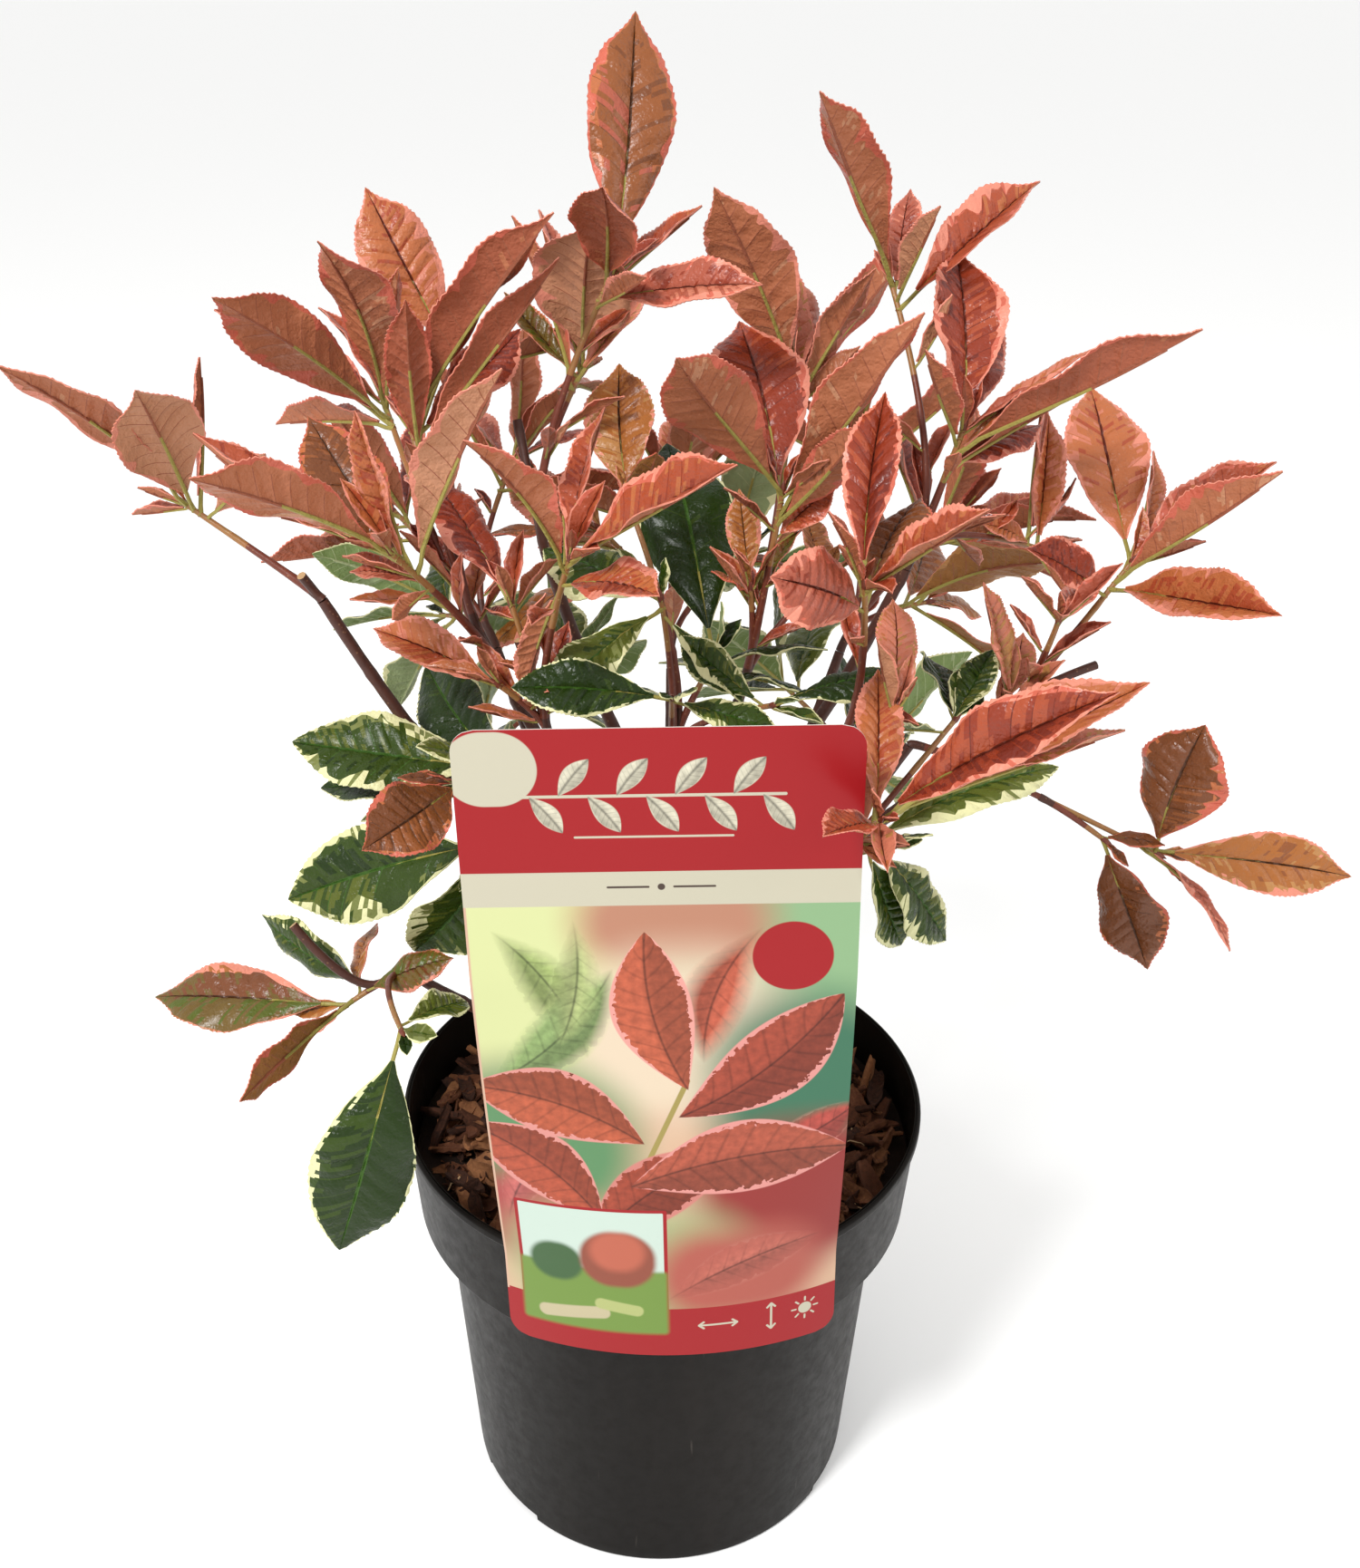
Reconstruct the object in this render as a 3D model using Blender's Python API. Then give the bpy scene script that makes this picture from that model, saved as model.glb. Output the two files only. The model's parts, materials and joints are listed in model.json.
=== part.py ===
"""Potted red tip photinia: a young shrub in a black five-litre nursery pot with its picture label.

Run with: blender --background --python part.py
World units are metres, +Z is up and the viewer stands at -Y. The origin is the centre of the pot's underside.
Sizes below are millimetres and are scaled by MM where they are used.
"""
import math
import random
from collections import namedtuple

import bmesh
import bpy
from mathutils import Matrix, Vector
from mathutils.bvhtree import BVHTree

MM = 0.001
GAP = 0.3
SLIVERS = (0.01, 0.003, 0.001, 0.0001)
SCRAP_FACES = 12

# Pot
POT_HEIGHT = 195.0
POT_BASE_RADIUS = 88.0
POT_BODY_RADIUS = 97.5
COLLAR_BOTTOM = 147.0
COLLAR_RADIUS = 108.5
RIM_RADIUS = 112.0
RIM_BEAD = 1.0
POT_WALL = 1.6
POT_SIDES = 40
DRAIN_COUNT = 8
DRAIN_RADIUS = 6.0
DRAIN_RING = 62.0
DRAIN_SIDES = 12
NOTCH_COUNT = 3
NOTCH_TURN = math.radians(-142.5)
NOTCH_WIDTH = 40.0
NOTCH_HEIGHT = 4.5

# Root ball
SOIL_TOP = 176.0

# Label card and its rim hook
LABEL_WIDTH = 132.0
LABEL_BOTTOM = 155.0
LABEL_TOP = 425.0
LABEL_THICK = 0.5
LABEL_CORNER = 8.0
LABEL_BEND = 150.0
LABEL_BEND_END = 330.0
LABEL_TURN = math.radians(1.5)
LABEL_CENTRE_X = 1.0
HOOK_WIDTH = 20.0
HOOK_THICK = 0.8
HOOK_TOP = 250.0
HOOK_BOTTOM = 170.0
HOOK_LEG_BOTTOM = 178.0

# Stem inside the shrub, from the bark mulch to its tip
TRUNK_FOOT = Vector((0.0, 10.0, SOIL_TOP + GAP))
TRUNK_TIP = Vector((8.0, 4.0, 330.0))
TRUNK_RADII = (8.0, 5.0)
TRUNK_FLARE = 1.35
TRUNK_SIDES = 12

# Limbs and twigs
LIMB_SIDES = 7
LIMB_RINGS = 6
BOUGH_BASE_RADIUS = 3.4
BOUGH_TIP_RADIUS = 2.2
TWIG_SIDES = 3
TWIG_RINGS = 4
TWIG_TIP_RADIUS = 1.1
STUB_TIP_RADIUS = 1.9

# Leaves
LEAF_THICK = 1.3
LEAF_SINK = 0.8
LEAF_STATIONS = ((0.42, 0.97), (0.74, 0.88))
LEAF_FOLD = 0.30
LEAF_ARCH = 0.06
LEAF_NODE_STEP = 3.0
WIDTH_RATIO = {"young": 0.33, "bronze": 0.36, "green": 0.40}
GOLDEN_ANGLE = math.radians(137.5)
SEATS = ((0, 0), (0, 5), (0, -5), (5, 0), (-5, 0), (8, 8), (-8, 8), (12, -4), (-12, -4), (18, 4), (-18, 4),
         (26, 0), (-26, 0), (38, 8), (-38, 8))

# A leaf is (bearing, rise, length, roll, width): bearing 0 is +X, 90 is away from the viewer, and roll turns
# the blade about its own length, in degrees and mm. Width is a share of the usual one. Both may be left out.
# A shoot grows to its tip from the leader at a share of the leader's length, and `fill` leaves follow
# the golden angle round it. `bend` is the share of a twig that keeps its parent's heading: a small one
# makes it straight. A mass starts at the tip of its bough, which leaves the stem at a height.
Leaf = namedtuple("Leaf", "bearing rise length roll width", defaults=(0, 1.0))
Shoot = namedtuple("Shoot", "tip fork kind leaves fill bend", defaults=(0.0, "young", (), 2, 0.3))
Mass = namedtuple("Mass", "name leave_height bough_tip shoots")

MASSES = (
    Mass("far_left", 250, (-127, -12, 427), (
        Shoot((-176, 0, 459), 0.0, "young",
              ((-129, 46, 90, -30, 0.9), (-109, 60, 66, 0, 1.5), (95, 56, 60, -25, 0.9),
               (-31, 43, 46, -75, 1.2)), 0, 0.05),
        Shoot((-133, -16, 438), 0.05, "cut"),
    )),
    Mass("left", 294, (-60, -26, 404), (
        Shoot((-92, -60, 462), 0.0, "young",
              ((-132, 32, 86, 50), (158, 23, 84, 25, 0.8), (150, 11, 60, 15, 0.8), (135, 38, 66, 10, 1.3),
               (-138, 73, 60, -30, 0.8), (-41, 61, 90, -45, 0.8), (156, 8, 32, 20, 0.8),
               (160, 0, 30, -5, 1.1), (-120, -10, 24, 90)), 0),
        Shoot((-108, 40, 487), 0.15, "young",
              ((-107, 62, 76, -20, 1.2), (-56, 67, 58, 10, 0.7), (130, 41, 55, -10, 0.8),
               (-132, 38, 92, 40, 0.95), (138, 31, 80, -45, 1.3)), 1),
        Shoot((-92, 0, 487), 0.1, "young",
              ((-20, 56, 98, -5), (48, 30, 62, 45, 1.1), (64, 55, 75, -25, 0.6), (2, 52, 86, -10, 0.6)), 1),
        Shoot((-84, 62, 500), 0.2, "young", ((155, 60, 70, -105, 1.35), (119, 38, 60, -25)), 3),
    )),
    Mass("top", 318, (-46, 8, 440), (
        Shoot((-21, 20, 538), 0.0, "young",
              ((78, 63, 98, 0, 1.1), (-89, 44, 56, 0, 1.4), (38, 31, 52, -5, 0.6), (-32, 13, 66, 60),
               (-59, 27, 40, 10, 0.8)), 0),
        Shoot((-33, 52, 498), 0.35, "young",
              ((-81, 57, 72, -5, 1.7), (107, 46, 76, -10, 0.7), (143, 37, 46, -70, 0.9),
               (56, 33, 56, 40, 0.9)), 2),
        Shoot((-56, 22, 486), 0.05, "cut"),
    )),
    Mass("front", 268, (-42, -36, 380), (
        Shoot((-32, -70, 464), 0.0, "young",
              ((79, 36, 64, -45, 0.75), (-42, 36, 84, 35), (-125, 54, 72, 20, 0.9), (92, 43, 40, 55, 0.7),
               (-48, 11, 50, 20, 1.3), (134, -55, 50, 15, 0.7)), 0),
        Shoot((-54, -44, 438), 0.2, "young",
              ((126, 28, 64, 15, 1.1), (65, 22, 32, -15, 0.8), (120, -10, 28, 5, 0.8)), 0),
        Shoot((-59, -46, 408), 0.1, "young", ((145, 7, 62, -15),), 0),
        Shoot((-52, -44, 425), 0.12, "cut"),
    )),
    Mass("middle", 330, (28, -4, 384), (
        Shoot((41, -12, 469), 0.0, "young",
              ((-132, 45, 84, 50, 1.15), (104, 43, 82, -10, 1.35), (75, 46, 62, -65, 0.55),
               (-28, 58, 92, -20), (-45, 50, 60, -50), (-144, 44, 32, 20, 0.7), (0, 45, 30, 50, 1.5)), 0),
        Shoot((49, 50, 494), 0.25, "young",
              ((-146, 61, 84, 20, 1.2), (92, 49, 52, 0, 1.6), (47, 39, 80, -65), (100, 66, 60, -20, 0.7),
               (5, 45, 35, -45)), 1),
        Shoot((31, -8, 431), 0.3, "bronze",
              ((100, 52, 40, 0, 0.9), (-150, 40, 22, 0, 1.2), (40, 48, 34, 0, 0.8)), 0),
        Shoot((59, 10, 429), 0.15, "bronze", ((100, 28, 34, 0, 1.4), (-170, 20, 34)), 0),
    )),
    Mass("heart", 308, (2, -22, 366), (
        Shoot((18, -14, 406), 0.0, "green", ((104, 43, 98, -40), (0, 20, 45), (-30, 5, 44)), 0),
        Shoot((-14, 12, 456), 0.3, "bronze", ((98, 52, 58, 5, 1.35), (-70, 50, 40)), 0),
        Shoot((-2, -25, 433), 0.15, "green", ((150, 15, 52, -20, 1.4), (-150, -18, 60, -20, 0.9),
                                              (-40, -30, 44, 0, 0.9)), 0),
        Shoot((2, -58, 409), 0.05, "green", ((180, 0, 56, -30, 0.9), (-20, -5, 40)), 0),
        Shoot((37, -52, 404), 0.1, "green", ((15, 12, 48, -30, 0.9), (150, 30, 40, -30)), 0),
    )),
    Mass("right_high", 298, (88, -8, 440), (
        Shoot((104, -10, 492), 0.0, "young",
              ((89, 45, 76, 0, 1.2), (74, 40, 70, 15, 1.1), (-125, 52, 50, -15, 0.8), (-26, 33, 94, -20, 0.9),
               (0, 46, 61, 10, 0.6), (33, 15, 46, 15, 1.1)), 1),
        Shoot((81, 30, 534), 0.2, "young",
              ((-126, 54, 90, -20, 0.7), (79, 52, 44, 10, 1.1), (-75, 55, 48, 15, 0.7),
               (37, 27, 80, 45, 0.9)), 0),
        Shoot((142, 20, 439), 0.1, "young",
              ((-98, 78, 54, -120), (-148, 27, 30, -50, 1.1), (72, 47, 64, -35), (38, 32, 36, 65, 0.7)), 0),
    )),
    Mass("front_right", 282, (62, -52, 388), (
        Shoot((63, -88, 462), 0.0, "young",
              ((80, 40, 78, -10, 0.8), (-52, 41, 62, 25, 0.7), (-125, 54, 45, -25, 0.6),
               (64, 31, 52, -15, 1.4), (-136, 27, 50, -70, 1.7)), 0),
    )),
    Mass("label_edge", 238, (58, -62, 338), (
        Shoot((69, -120, 395), 0.0, "young",
              ((-37, 44, 94, 15, 0.95), (16, 23, 100, -15, 0.8), (19, 14, 92, -30, 0.9),
               (-129, 14, 42, 0, 1.1), (92, 27, 62, 15, 0.9)), 0),
        Shoot((74, -80, 362), 0.4, "green",
              ((28, -54, 60, 35), (5, -66, 52, 45, 1.1), (24, 14, 86, -15, 0.6)), 0),
        Shoot((78, -74, 412), 0.3, "young", ((85, 40, 46, 0, 1.1),), 0),
        Shoot((105, -40, 393), 0.25, "green", ((100, 25, 36, 0, 1.6), (55, 35, 38), (-160, 10, 36, 0, 1.3)), 0),
    )),
    Mass("right", 270, (126, -8, 376), (
        Shoot((173, 0, 440), 0.0, "young",
              ((96, 42, 82, -35, 1.2), (62, 45, 52, 50, 0.7), (29, 38, 72, 5), (-39, 45, 76, 0, 0.8),
               (-66, 15, 84, 65, 0.85), (-148, 32, 50, -60, 1.2)), 0),
        Shoot((141, -30, 428), 0.2, "young", ((-145, 50, 30), (45, 30, 30), (65, 5, 44)), 0),
        Shoot((129, -18, 391), 0.02, "young", ((-160, 62, 54, 0, 0.9), (70, 40, 32, 0, 1.4)), 0),
        Shoot((166, 2, 398), 0.15, "cut"),
    )),
    Mass("low_right", 250, (100, 24, 352), (
        Shoot((200, 0, 316), 0.0, "bronze",
              ((0, 80, 58, -120, 1.9), (0, -8, 88, 55, 0.8), (-65, -11, 60, 10, 0.6)), 0, 0.05),
        Shoot((178, 1, 322), 0.72, "bronze", ((-42, -61, 58, 105, 1.45),), 0),
    )),
    Mass("left_green", 228, (-46, -24, 338), (
        Shoot((-58, -30, 366), 0.0, "green",
              ((150, -2, 88, -30), (152, -8, 84, -20, 0.85), (-129, 38, 58, -35, 0.8),
               (133, 9, 84, -30, 0.8), (156, -9, 72, 0, 0.7)), 0),
        Shoot((-64, -38, 340), 0.2, "green",
              ((165, -24, 98, -15, 1.05), (180, -57, 66, -75, 1.4)), 0),
        Shoot((-76, -40, 366), 0.3, "bronze", ((-126, -6, 50, -55, 1.6),), 0),
    )),
    Mass("low_left", 206, (-98, -40, 280), (
        Shoot((-124, -50, 273), 0.0, "bronze",
              ((167, -4, 86, 5), (-116, 2, 72, 25, 0.8), (91, 11, 44, 10, 0.75), (-33, 31, 40, 10, 1.2),
               (150, 12, 60, -20, 0.9)), 0),
        Shoot((-94, -98, 296), 0.1, "green", ((-145, -70, 94, 0, 1.05), (57, -14, 40, -25)), 0),
        Shoot((-143, -44, 306), 0.6, "cut"),
    )),
    Mass("back_left", 238, (-72, 62, 378), (
        Shoot((-118, 104, 424), 0.0, "young", (), 8),
        Shoot((-66, 124, 446), 0.15, "young", (), 8),
        Shoot((-96, 84, 384), 0.1, "green", (), 5),
    )),
    Mass("back", 258, (2, 84, 360), (
        Shoot((2, 128, 430), 0.0, "young", (), 8),
        Shoot((-28, 98, 418), 0.25, "bronze", (), 7),
        Shoot((36, 142, 392), 0.1, "green", (), 6),
    )),
    Mass("back_right", 232, (74, 66, 376), (
        Shoot((124, 92, 428), 0.0, "young", (), 8),
        Shoot((74, 112, 458), 0.15, "young", (), 8),
        Shoot((112, 84, 392), 0.1, "bronze", (), 5),
    )),
    Mass("low_back_left", 212, (-84, 84, 290), (
        Shoot((-92, 124, 292), 0.0, "green", (), 7),
        Shoot((-48, 136, 330), 0.2, "green", (), 6),
    )),
    Mass("low_back_right", 214, (86, 88, 292), (
        Shoot((94, 126, 292), 0.0, "green", (), 7),
        Shoot((50, 138, 334), 0.2, "green", (), 6),
    )),
)


def clear_scene():
    for item in list(bpy.data.objects):
        bpy.data.objects.remove(item, do_unlink=True)


def hex_colour(code):
    channels = []
    for start in (0, 2, 4):
        share = int(code[start:start + 2], 16) / 255
        channels.append(share / 12.92 if share <= 0.04045 else ((share + 0.055) / 1.055) ** 2.4)
    return (*channels, 1.0)


def material(name, code, roughness, metallic=0.0):
    made = bpy.data.materials.new(name)
    made.use_nodes = True
    shader = made.node_tree.nodes["Principled BSDF"]
    shader.inputs["Base Color"].default_value = hex_colour(code)
    shader.inputs["Roughness"].default_value = roughness
    shader.inputs["Metallic"].default_value = metallic
    return made


def add_object(name, mesh_data, finish=None, smooth=False):
    """Puts a bmesh, whose points are in millimetres, into the scene as an object in metres."""
    bmesh.ops.scale(mesh_data, vec=(MM, MM, MM), verts=mesh_data.verts)
    bmesh.ops.recalc_face_normals(mesh_data, faces=mesh_data.faces)
    mesh = bpy.data.meshes.new(name)
    mesh_data.to_mesh(mesh)
    mesh_data.free()
    made = bpy.data.objects.new(name, mesh)
    bpy.context.scene.collection.objects.link(made)
    if finish:
        mesh.materials.append(finish)
    mesh.polygons.foreach_set("use_smooth", [smooth] * len(mesh.polygons))
    return made


def apply_modifiers(target):
    depsgraph = bpy.context.evaluated_depsgraph_get()
    mesh = bpy.data.meshes.new_from_object(target.evaluated_get(depsgraph))
    target.modifiers.clear()
    old = target.data
    target.data = mesh
    mesh.name = target.name
    bpy.data.meshes.remove(old)


def cut_with(target, cutter, operation="DIFFERENCE"):
    """Cuts the target by another object and removes the cutter."""
    boolean = target.modifiers.new("cut", "BOOLEAN")
    boolean.operation = operation
    boolean.object = cutter
    apply_modifiers(target)
    bpy.data.objects.remove(cutter, do_unlink=True)


def turned(profile, sides):
    """Closed solid turned about the pot's axis from a closed list of (radius, height) points."""
    solid = bmesh.new()
    points = [solid.verts.new((radius, 0.0, height)) for radius, height in profile]
    edges = [solid.edges.new((points[i - 1], points[i])) for i in range(1, len(points))]
    if profile[0][0] > 0:
        edges.append(solid.edges.new((points[-1], points[0])))
    bmesh.ops.spin(solid, geom=points + edges, cent=(0, 0, 0), axis=(0, 0, 1),
                   angle=math.tau, steps=sides, use_duplicate=False)
    bmesh.ops.remove_doubles(solid, verts=solid.verts, dist=0.01)
    return solid


def box(size, centre, turn=0.0):
    solid = bmesh.new()
    place = Matrix.Rotation(turn, 4, "Z") @ Matrix.Translation(centre) @ Matrix.Diagonal((*size, 1.0))
    bmesh.ops.create_cube(solid, size=1.0, matrix=place)
    return solid


def body_radius(height):
    return POT_BASE_RADIUS + (POT_BODY_RADIUS - POT_BASE_RADIUS) * height / COLLAR_BOTTOM


def collar_radius(height):
    share = (height - COLLAR_BOTTOM) / (POT_HEIGHT - COLLAR_BOTTOM)
    return COLLAR_RADIUS + (RIM_RADIUS - COLLAR_RADIUS) * share


def make_pot(plastic):
    """Thin moulded wall with a stacking collar, a rolled rim, drain holes and notched base edge."""
    bead_low = POT_HEIGHT - 4.0
    bead_mid = POT_HEIGHT - 1.0
    ledge = COLLAR_BOTTOM + POT_WALL
    profile = [
        (0.0, 0.0),
        (POT_BASE_RADIUS - 2.0, 0.0),
        (POT_BASE_RADIUS, 2.0),
        (body_radius(COLLAR_BOTTOM), COLLAR_BOTTOM),
        (COLLAR_RADIUS - 1.0, COLLAR_BOTTOM),
        (COLLAR_RADIUS, COLLAR_BOTTOM + 1.0),
        (collar_radius(bead_low), bead_low),
        (RIM_RADIUS + RIM_BEAD, bead_low + 1.0),
        (RIM_RADIUS + RIM_BEAD, bead_mid),
        (RIM_RADIUS, POT_HEIGHT),
        (RIM_RADIUS - POT_WALL, POT_HEIGHT),
        (collar_radius(ledge) - POT_WALL, ledge),
        (body_radius(COLLAR_BOTTOM) - POT_WALL, ledge),
        (POT_BASE_RADIUS - POT_WALL, POT_WALL),
        (0.0, POT_WALL),
    ]
    pot = add_object("pot", turned(profile, POT_SIDES), plastic, smooth=True)
    for index in range(DRAIN_COUNT):
        angle = math.tau * (index + 0.5) / DRAIN_COUNT
        hole = bmesh.new()
        half_side = Matrix.Rotation(math.pi / DRAIN_SIDES, 4, "Z")
        spot = Matrix.Translation((DRAIN_RING, 0, POT_WALL / 2))
        place = Matrix.Rotation(angle, 4, "Z") @ spot @ half_side
        bmesh.ops.create_cone(hole, cap_ends=True, segments=DRAIN_SIDES, radius1=DRAIN_RADIUS,
                              radius2=DRAIN_RADIUS, depth=POT_WALL * 3, matrix=place)
        cut_with(pot, add_object("drain_cutter", hole))
    for index in range(NOTCH_COUNT):
        angle = NOTCH_TURN + math.tau * index / NOTCH_COUNT
        notch = box((POT_WALL * 6, NOTCH_WIDTH, NOTCH_HEIGHT * 2), (POT_BASE_RADIUS, 0, 0), angle)
        cut_with(pot, add_object("notch_cutter", notch))
    return pot


def make_root_ball(bark):
    """Potting soil filling the pot, with its mulched top below the rim."""
    ledge = COLLAR_BOTTOM + POT_WALL + GAP
    inset = POT_WALL + GAP
    profile = [
        (0.0, POT_WALL + GAP),
        (POT_BASE_RADIUS - inset - 0.3, POT_WALL + GAP),
        (body_radius(COLLAR_BOTTOM) - inset - 0.1, ledge),
        (collar_radius(ledge) - inset, ledge),
        (collar_radius(SOIL_TOP) - inset, SOIL_TOP),
        (0.0, SOIL_TOP),
    ]
    return add_object("root_ball", turned(profile, POT_SIDES), bark)


def label_surface(across, height, depth):
    """Point of the card: flat at its top, bent round the rim below."""
    bend = min(1.0, max(0.0, (LABEL_BEND_END - height) / (LABEL_BEND_END - POT_HEIGHT)))
    half_hook = HOOK_WIDTH / 2 + 3.0
    hook_sag = LABEL_BEND - math.sqrt(LABEL_BEND ** 2 - half_hook ** 2)
    front = -(RIM_RADIUS + RIM_BEAD + 2 * GAP + HOOK_THICK + hook_sag) - depth
    middle = (LABEL_TOP + LABEL_BOTTOM) / 2
    if bend > 0:
        radius = LABEL_BEND / bend
        side = radius * math.sin(across / radius)
        front += radius * (1 - math.cos(across / radius))
    else:
        side = across
    turn = Matrix.Rotation(-LABEL_TURN, 3, "Y")
    flat = turn @ Vector((side, 0.0, height - middle))
    return Vector((flat.x + LABEL_CENTRE_X, front, flat.z + middle))


def label_half_width(height):
    """Half width at a height, less where the corners are rounded."""
    reach = min(height - LABEL_BOTTOM, LABEL_TOP - height)
    if reach >= LABEL_CORNER:
        return LABEL_WIDTH / 2
    drop = LABEL_CORNER - reach
    return LABEL_WIDTH / 2 - LABEL_CORNER + math.sqrt(max(0.0, LABEL_CORNER ** 2 - drop ** 2))


def make_label(card):
    """Printed plastic card that stands in front of the pot."""
    corner = [LABEL_CORNER * (1 - math.cos(math.radians(step))) for step in (0, 30, 60, 90)]
    middle = [POT_HEIGHT + share * (LABEL_BEND_END - POT_HEIGHT) for share in (0.0, 0.25, 0.5, 0.75, 1.0)]
    heights = [LABEL_BOTTOM + reach for reach in corner] + middle
    heights += [LABEL_TOP - reach for reach in reversed(corner)]
    columns = 10
    solid = bmesh.new()
    sheets = []
    for depth in (0.0, LABEL_THICK):
        rows = []
        for height in heights:
            half = label_half_width(height)
            spots = [label_surface(half * (2 * i / columns - 1), height, depth) for i in range(columns + 1)]
            rows.append([solid.verts.new(spot) for spot in spots])
        sheets.append(rows)
    for rows in sheets:
        for low, high in zip(rows, rows[1:]):
            for i in range(columns):
                solid.faces.new((low[i], low[i + 1], high[i + 1], high[i]))
    back, front = sheets
    rim = [(row, 0) for row in range(len(heights))]
    rim += [(len(heights) - 1, i) for i in range(1, columns + 1)]
    rim += [(row, columns) for row in range(len(heights) - 2, -1, -1)]
    rim += [(0, i) for i in range(columns - 1, 0, -1)]
    for (row, i), (next_row, next_i) in zip(rim, rim[1:] + rim[:1]):
        solid.faces.new((back[row][i], back[next_row][next_i], front[next_row][next_i], front[row][i]))
    bmesh.ops.remove_doubles(solid, verts=solid.verts, dist=0.01)
    return add_object("label_card", solid, card, smooth=False)


def make_hook(plastic):
    """Plastic tongue behind the card with an arm that hooks over the rim."""
    outer = -(RIM_RADIUS + RIM_BEAD + GAP + HOOK_THICK)
    inner = outer + HOOK_THICK
    arm_low = POT_HEIGHT + GAP
    wall_radius = (collar_radius(HOOK_LEG_BOTTOM) - POT_WALL) * math.cos(math.pi / POT_SIDES)
    leg_outer = GAP - math.sqrt(wall_radius ** 2 - (HOOK_WIDTH / 2) ** 2)
    profile = [
        (outer, HOOK_BOTTOM), (inner, HOOK_BOTTOM), (inner, arm_low), (leg_outer, arm_low),
        (leg_outer, HOOK_LEG_BOTTOM), (leg_outer + HOOK_THICK, HOOK_LEG_BOTTOM),
        (leg_outer + HOOK_THICK, arm_low + HOOK_THICK), (inner, arm_low + HOOK_THICK),
        (inner, HOOK_TOP), (outer, HOOK_TOP),
    ]
    solid = bmesh.new()
    face = solid.faces.new([solid.verts.new((-HOOK_WIDTH / 2, y, z)) for y, z in profile])
    pushed = bmesh.ops.extrude_face_region(solid, geom=[face])
    moved = [item for item in pushed["geom"] if isinstance(item, bmesh.types.BMVert)]
    bmesh.ops.translate(solid, verts=moved, vec=(HOOK_WIDTH, 0, 0))
    return add_object("label_hook", solid, plastic)


def bow(start, control, end, share):
    return start * (1 - share) ** 2 + control * 2 * share * (1 - share) + end * share ** 2


def bow_direction(start, control, end, share):
    return ((control - start) * (1 - share) + (end - control) * share).normalized()


def limb_mesh(curve, radii, sides, rings, flare=1.0):
    """Closed tapering tube along a bow given by its start, control and end."""
    solid = bmesh.new()
    loops = []
    side_way = Vector((0, 1, 0)).cross(bow_direction(*curve, 0.5)).normalized()
    for ring in range(rings):
        share = ring / (rings - 1)
        along = bow_direction(*curve, share)
        across = (side_way - along * side_way.dot(along)).normalized()
        over = along.cross(across)
        radius = radii[0] + (radii[1] - radii[0]) * share
        if ring == 0:
            radius *= flare
        loop = []
        for side in range(sides):
            angle = math.tau * side / sides
            spot = bow(*curve, share) + across * math.cos(angle) * radius + over * math.sin(angle) * radius
            loop.append(solid.verts.new(spot))
        loops.append(loop)
    for low, high in zip(loops, loops[1:]):
        for side in range(sides):
            after = (side + 1) % sides
            solid.faces.new((low[side], low[after], high[after], high[side]))
    solid.faces.new(loops[0][::-1])
    solid.faces.new(loops[-1])
    return solid


def trunk_curve():
    """The stem rises upright from the mulch, so that its foot is cut level, and then leans to its tip."""
    control = Vector((TRUNK_FOOT.x, TRUNK_FOOT.y, (TRUNK_FOOT.z + TRUNK_TIP.z) / 2))
    return (TRUNK_FOOT, control, TRUNK_TIP)


def trunk_mesh(extra=0.0):
    start, control, end = trunk_curve()
    end = end + bow_direction(start, control, end, 1.0) * extra
    radii = [radius + extra for radius in TRUNK_RADII]
    return limb_mesh((start, control, end), radii, TRUNK_SIDES, LIMB_RINGS, TRUNK_FLARE)


def bough_curve(mass):
    """A bough leaves the stem outwards and then bows up to its tip."""
    share = (mass.leave_height - TRUNK_FOOT.z) / (TRUNK_TIP.z - TRUNK_FOOT.z)
    start = bow(*trunk_curve(), min(share, 0.985))
    end = Vector(mass.bough_tip)
    reach = end - start
    control = start + Vector((reach.x * 0.55, reach.y * 0.55, reach.z * 0.32))
    return (start, control, end)


def shoot_curve(mass, shoot, leader):
    """A shoot leaves along its parent's direction and bows to its growth tip."""
    if shoot is mass.shoots[0]:
        bough = bough_curve(mass)
        heading = bow_direction(*bough, 1.0)
        start = bough[2] + heading * GAP
    else:
        heading = bow_direction(*leader, shoot.fork)
        start = bow(*leader, shoot.fork)
    end = Vector(shoot.tip)
    return (start, start + heading * (end - start).length * shoot.bend, end)


def compass(bearing, rise):
    """Unit vector from a bearing and a rise in degrees."""
    turn = math.radians(bearing)
    lift = math.radians(rise)
    return Vector((math.cos(turn) * math.cos(lift), math.sin(turn) * math.cos(lift), math.sin(lift)))


def leaned(way, turn, lift):
    """A direction turned about the upright and lifted, in degrees."""
    level = Vector((way.y, -way.x, 0)).normalized()
    lifted = Matrix.Rotation(math.radians(lift), 3, level) @ way
    return Matrix.Rotation(math.radians(turn), 3, "Z") @ lifted


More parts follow.
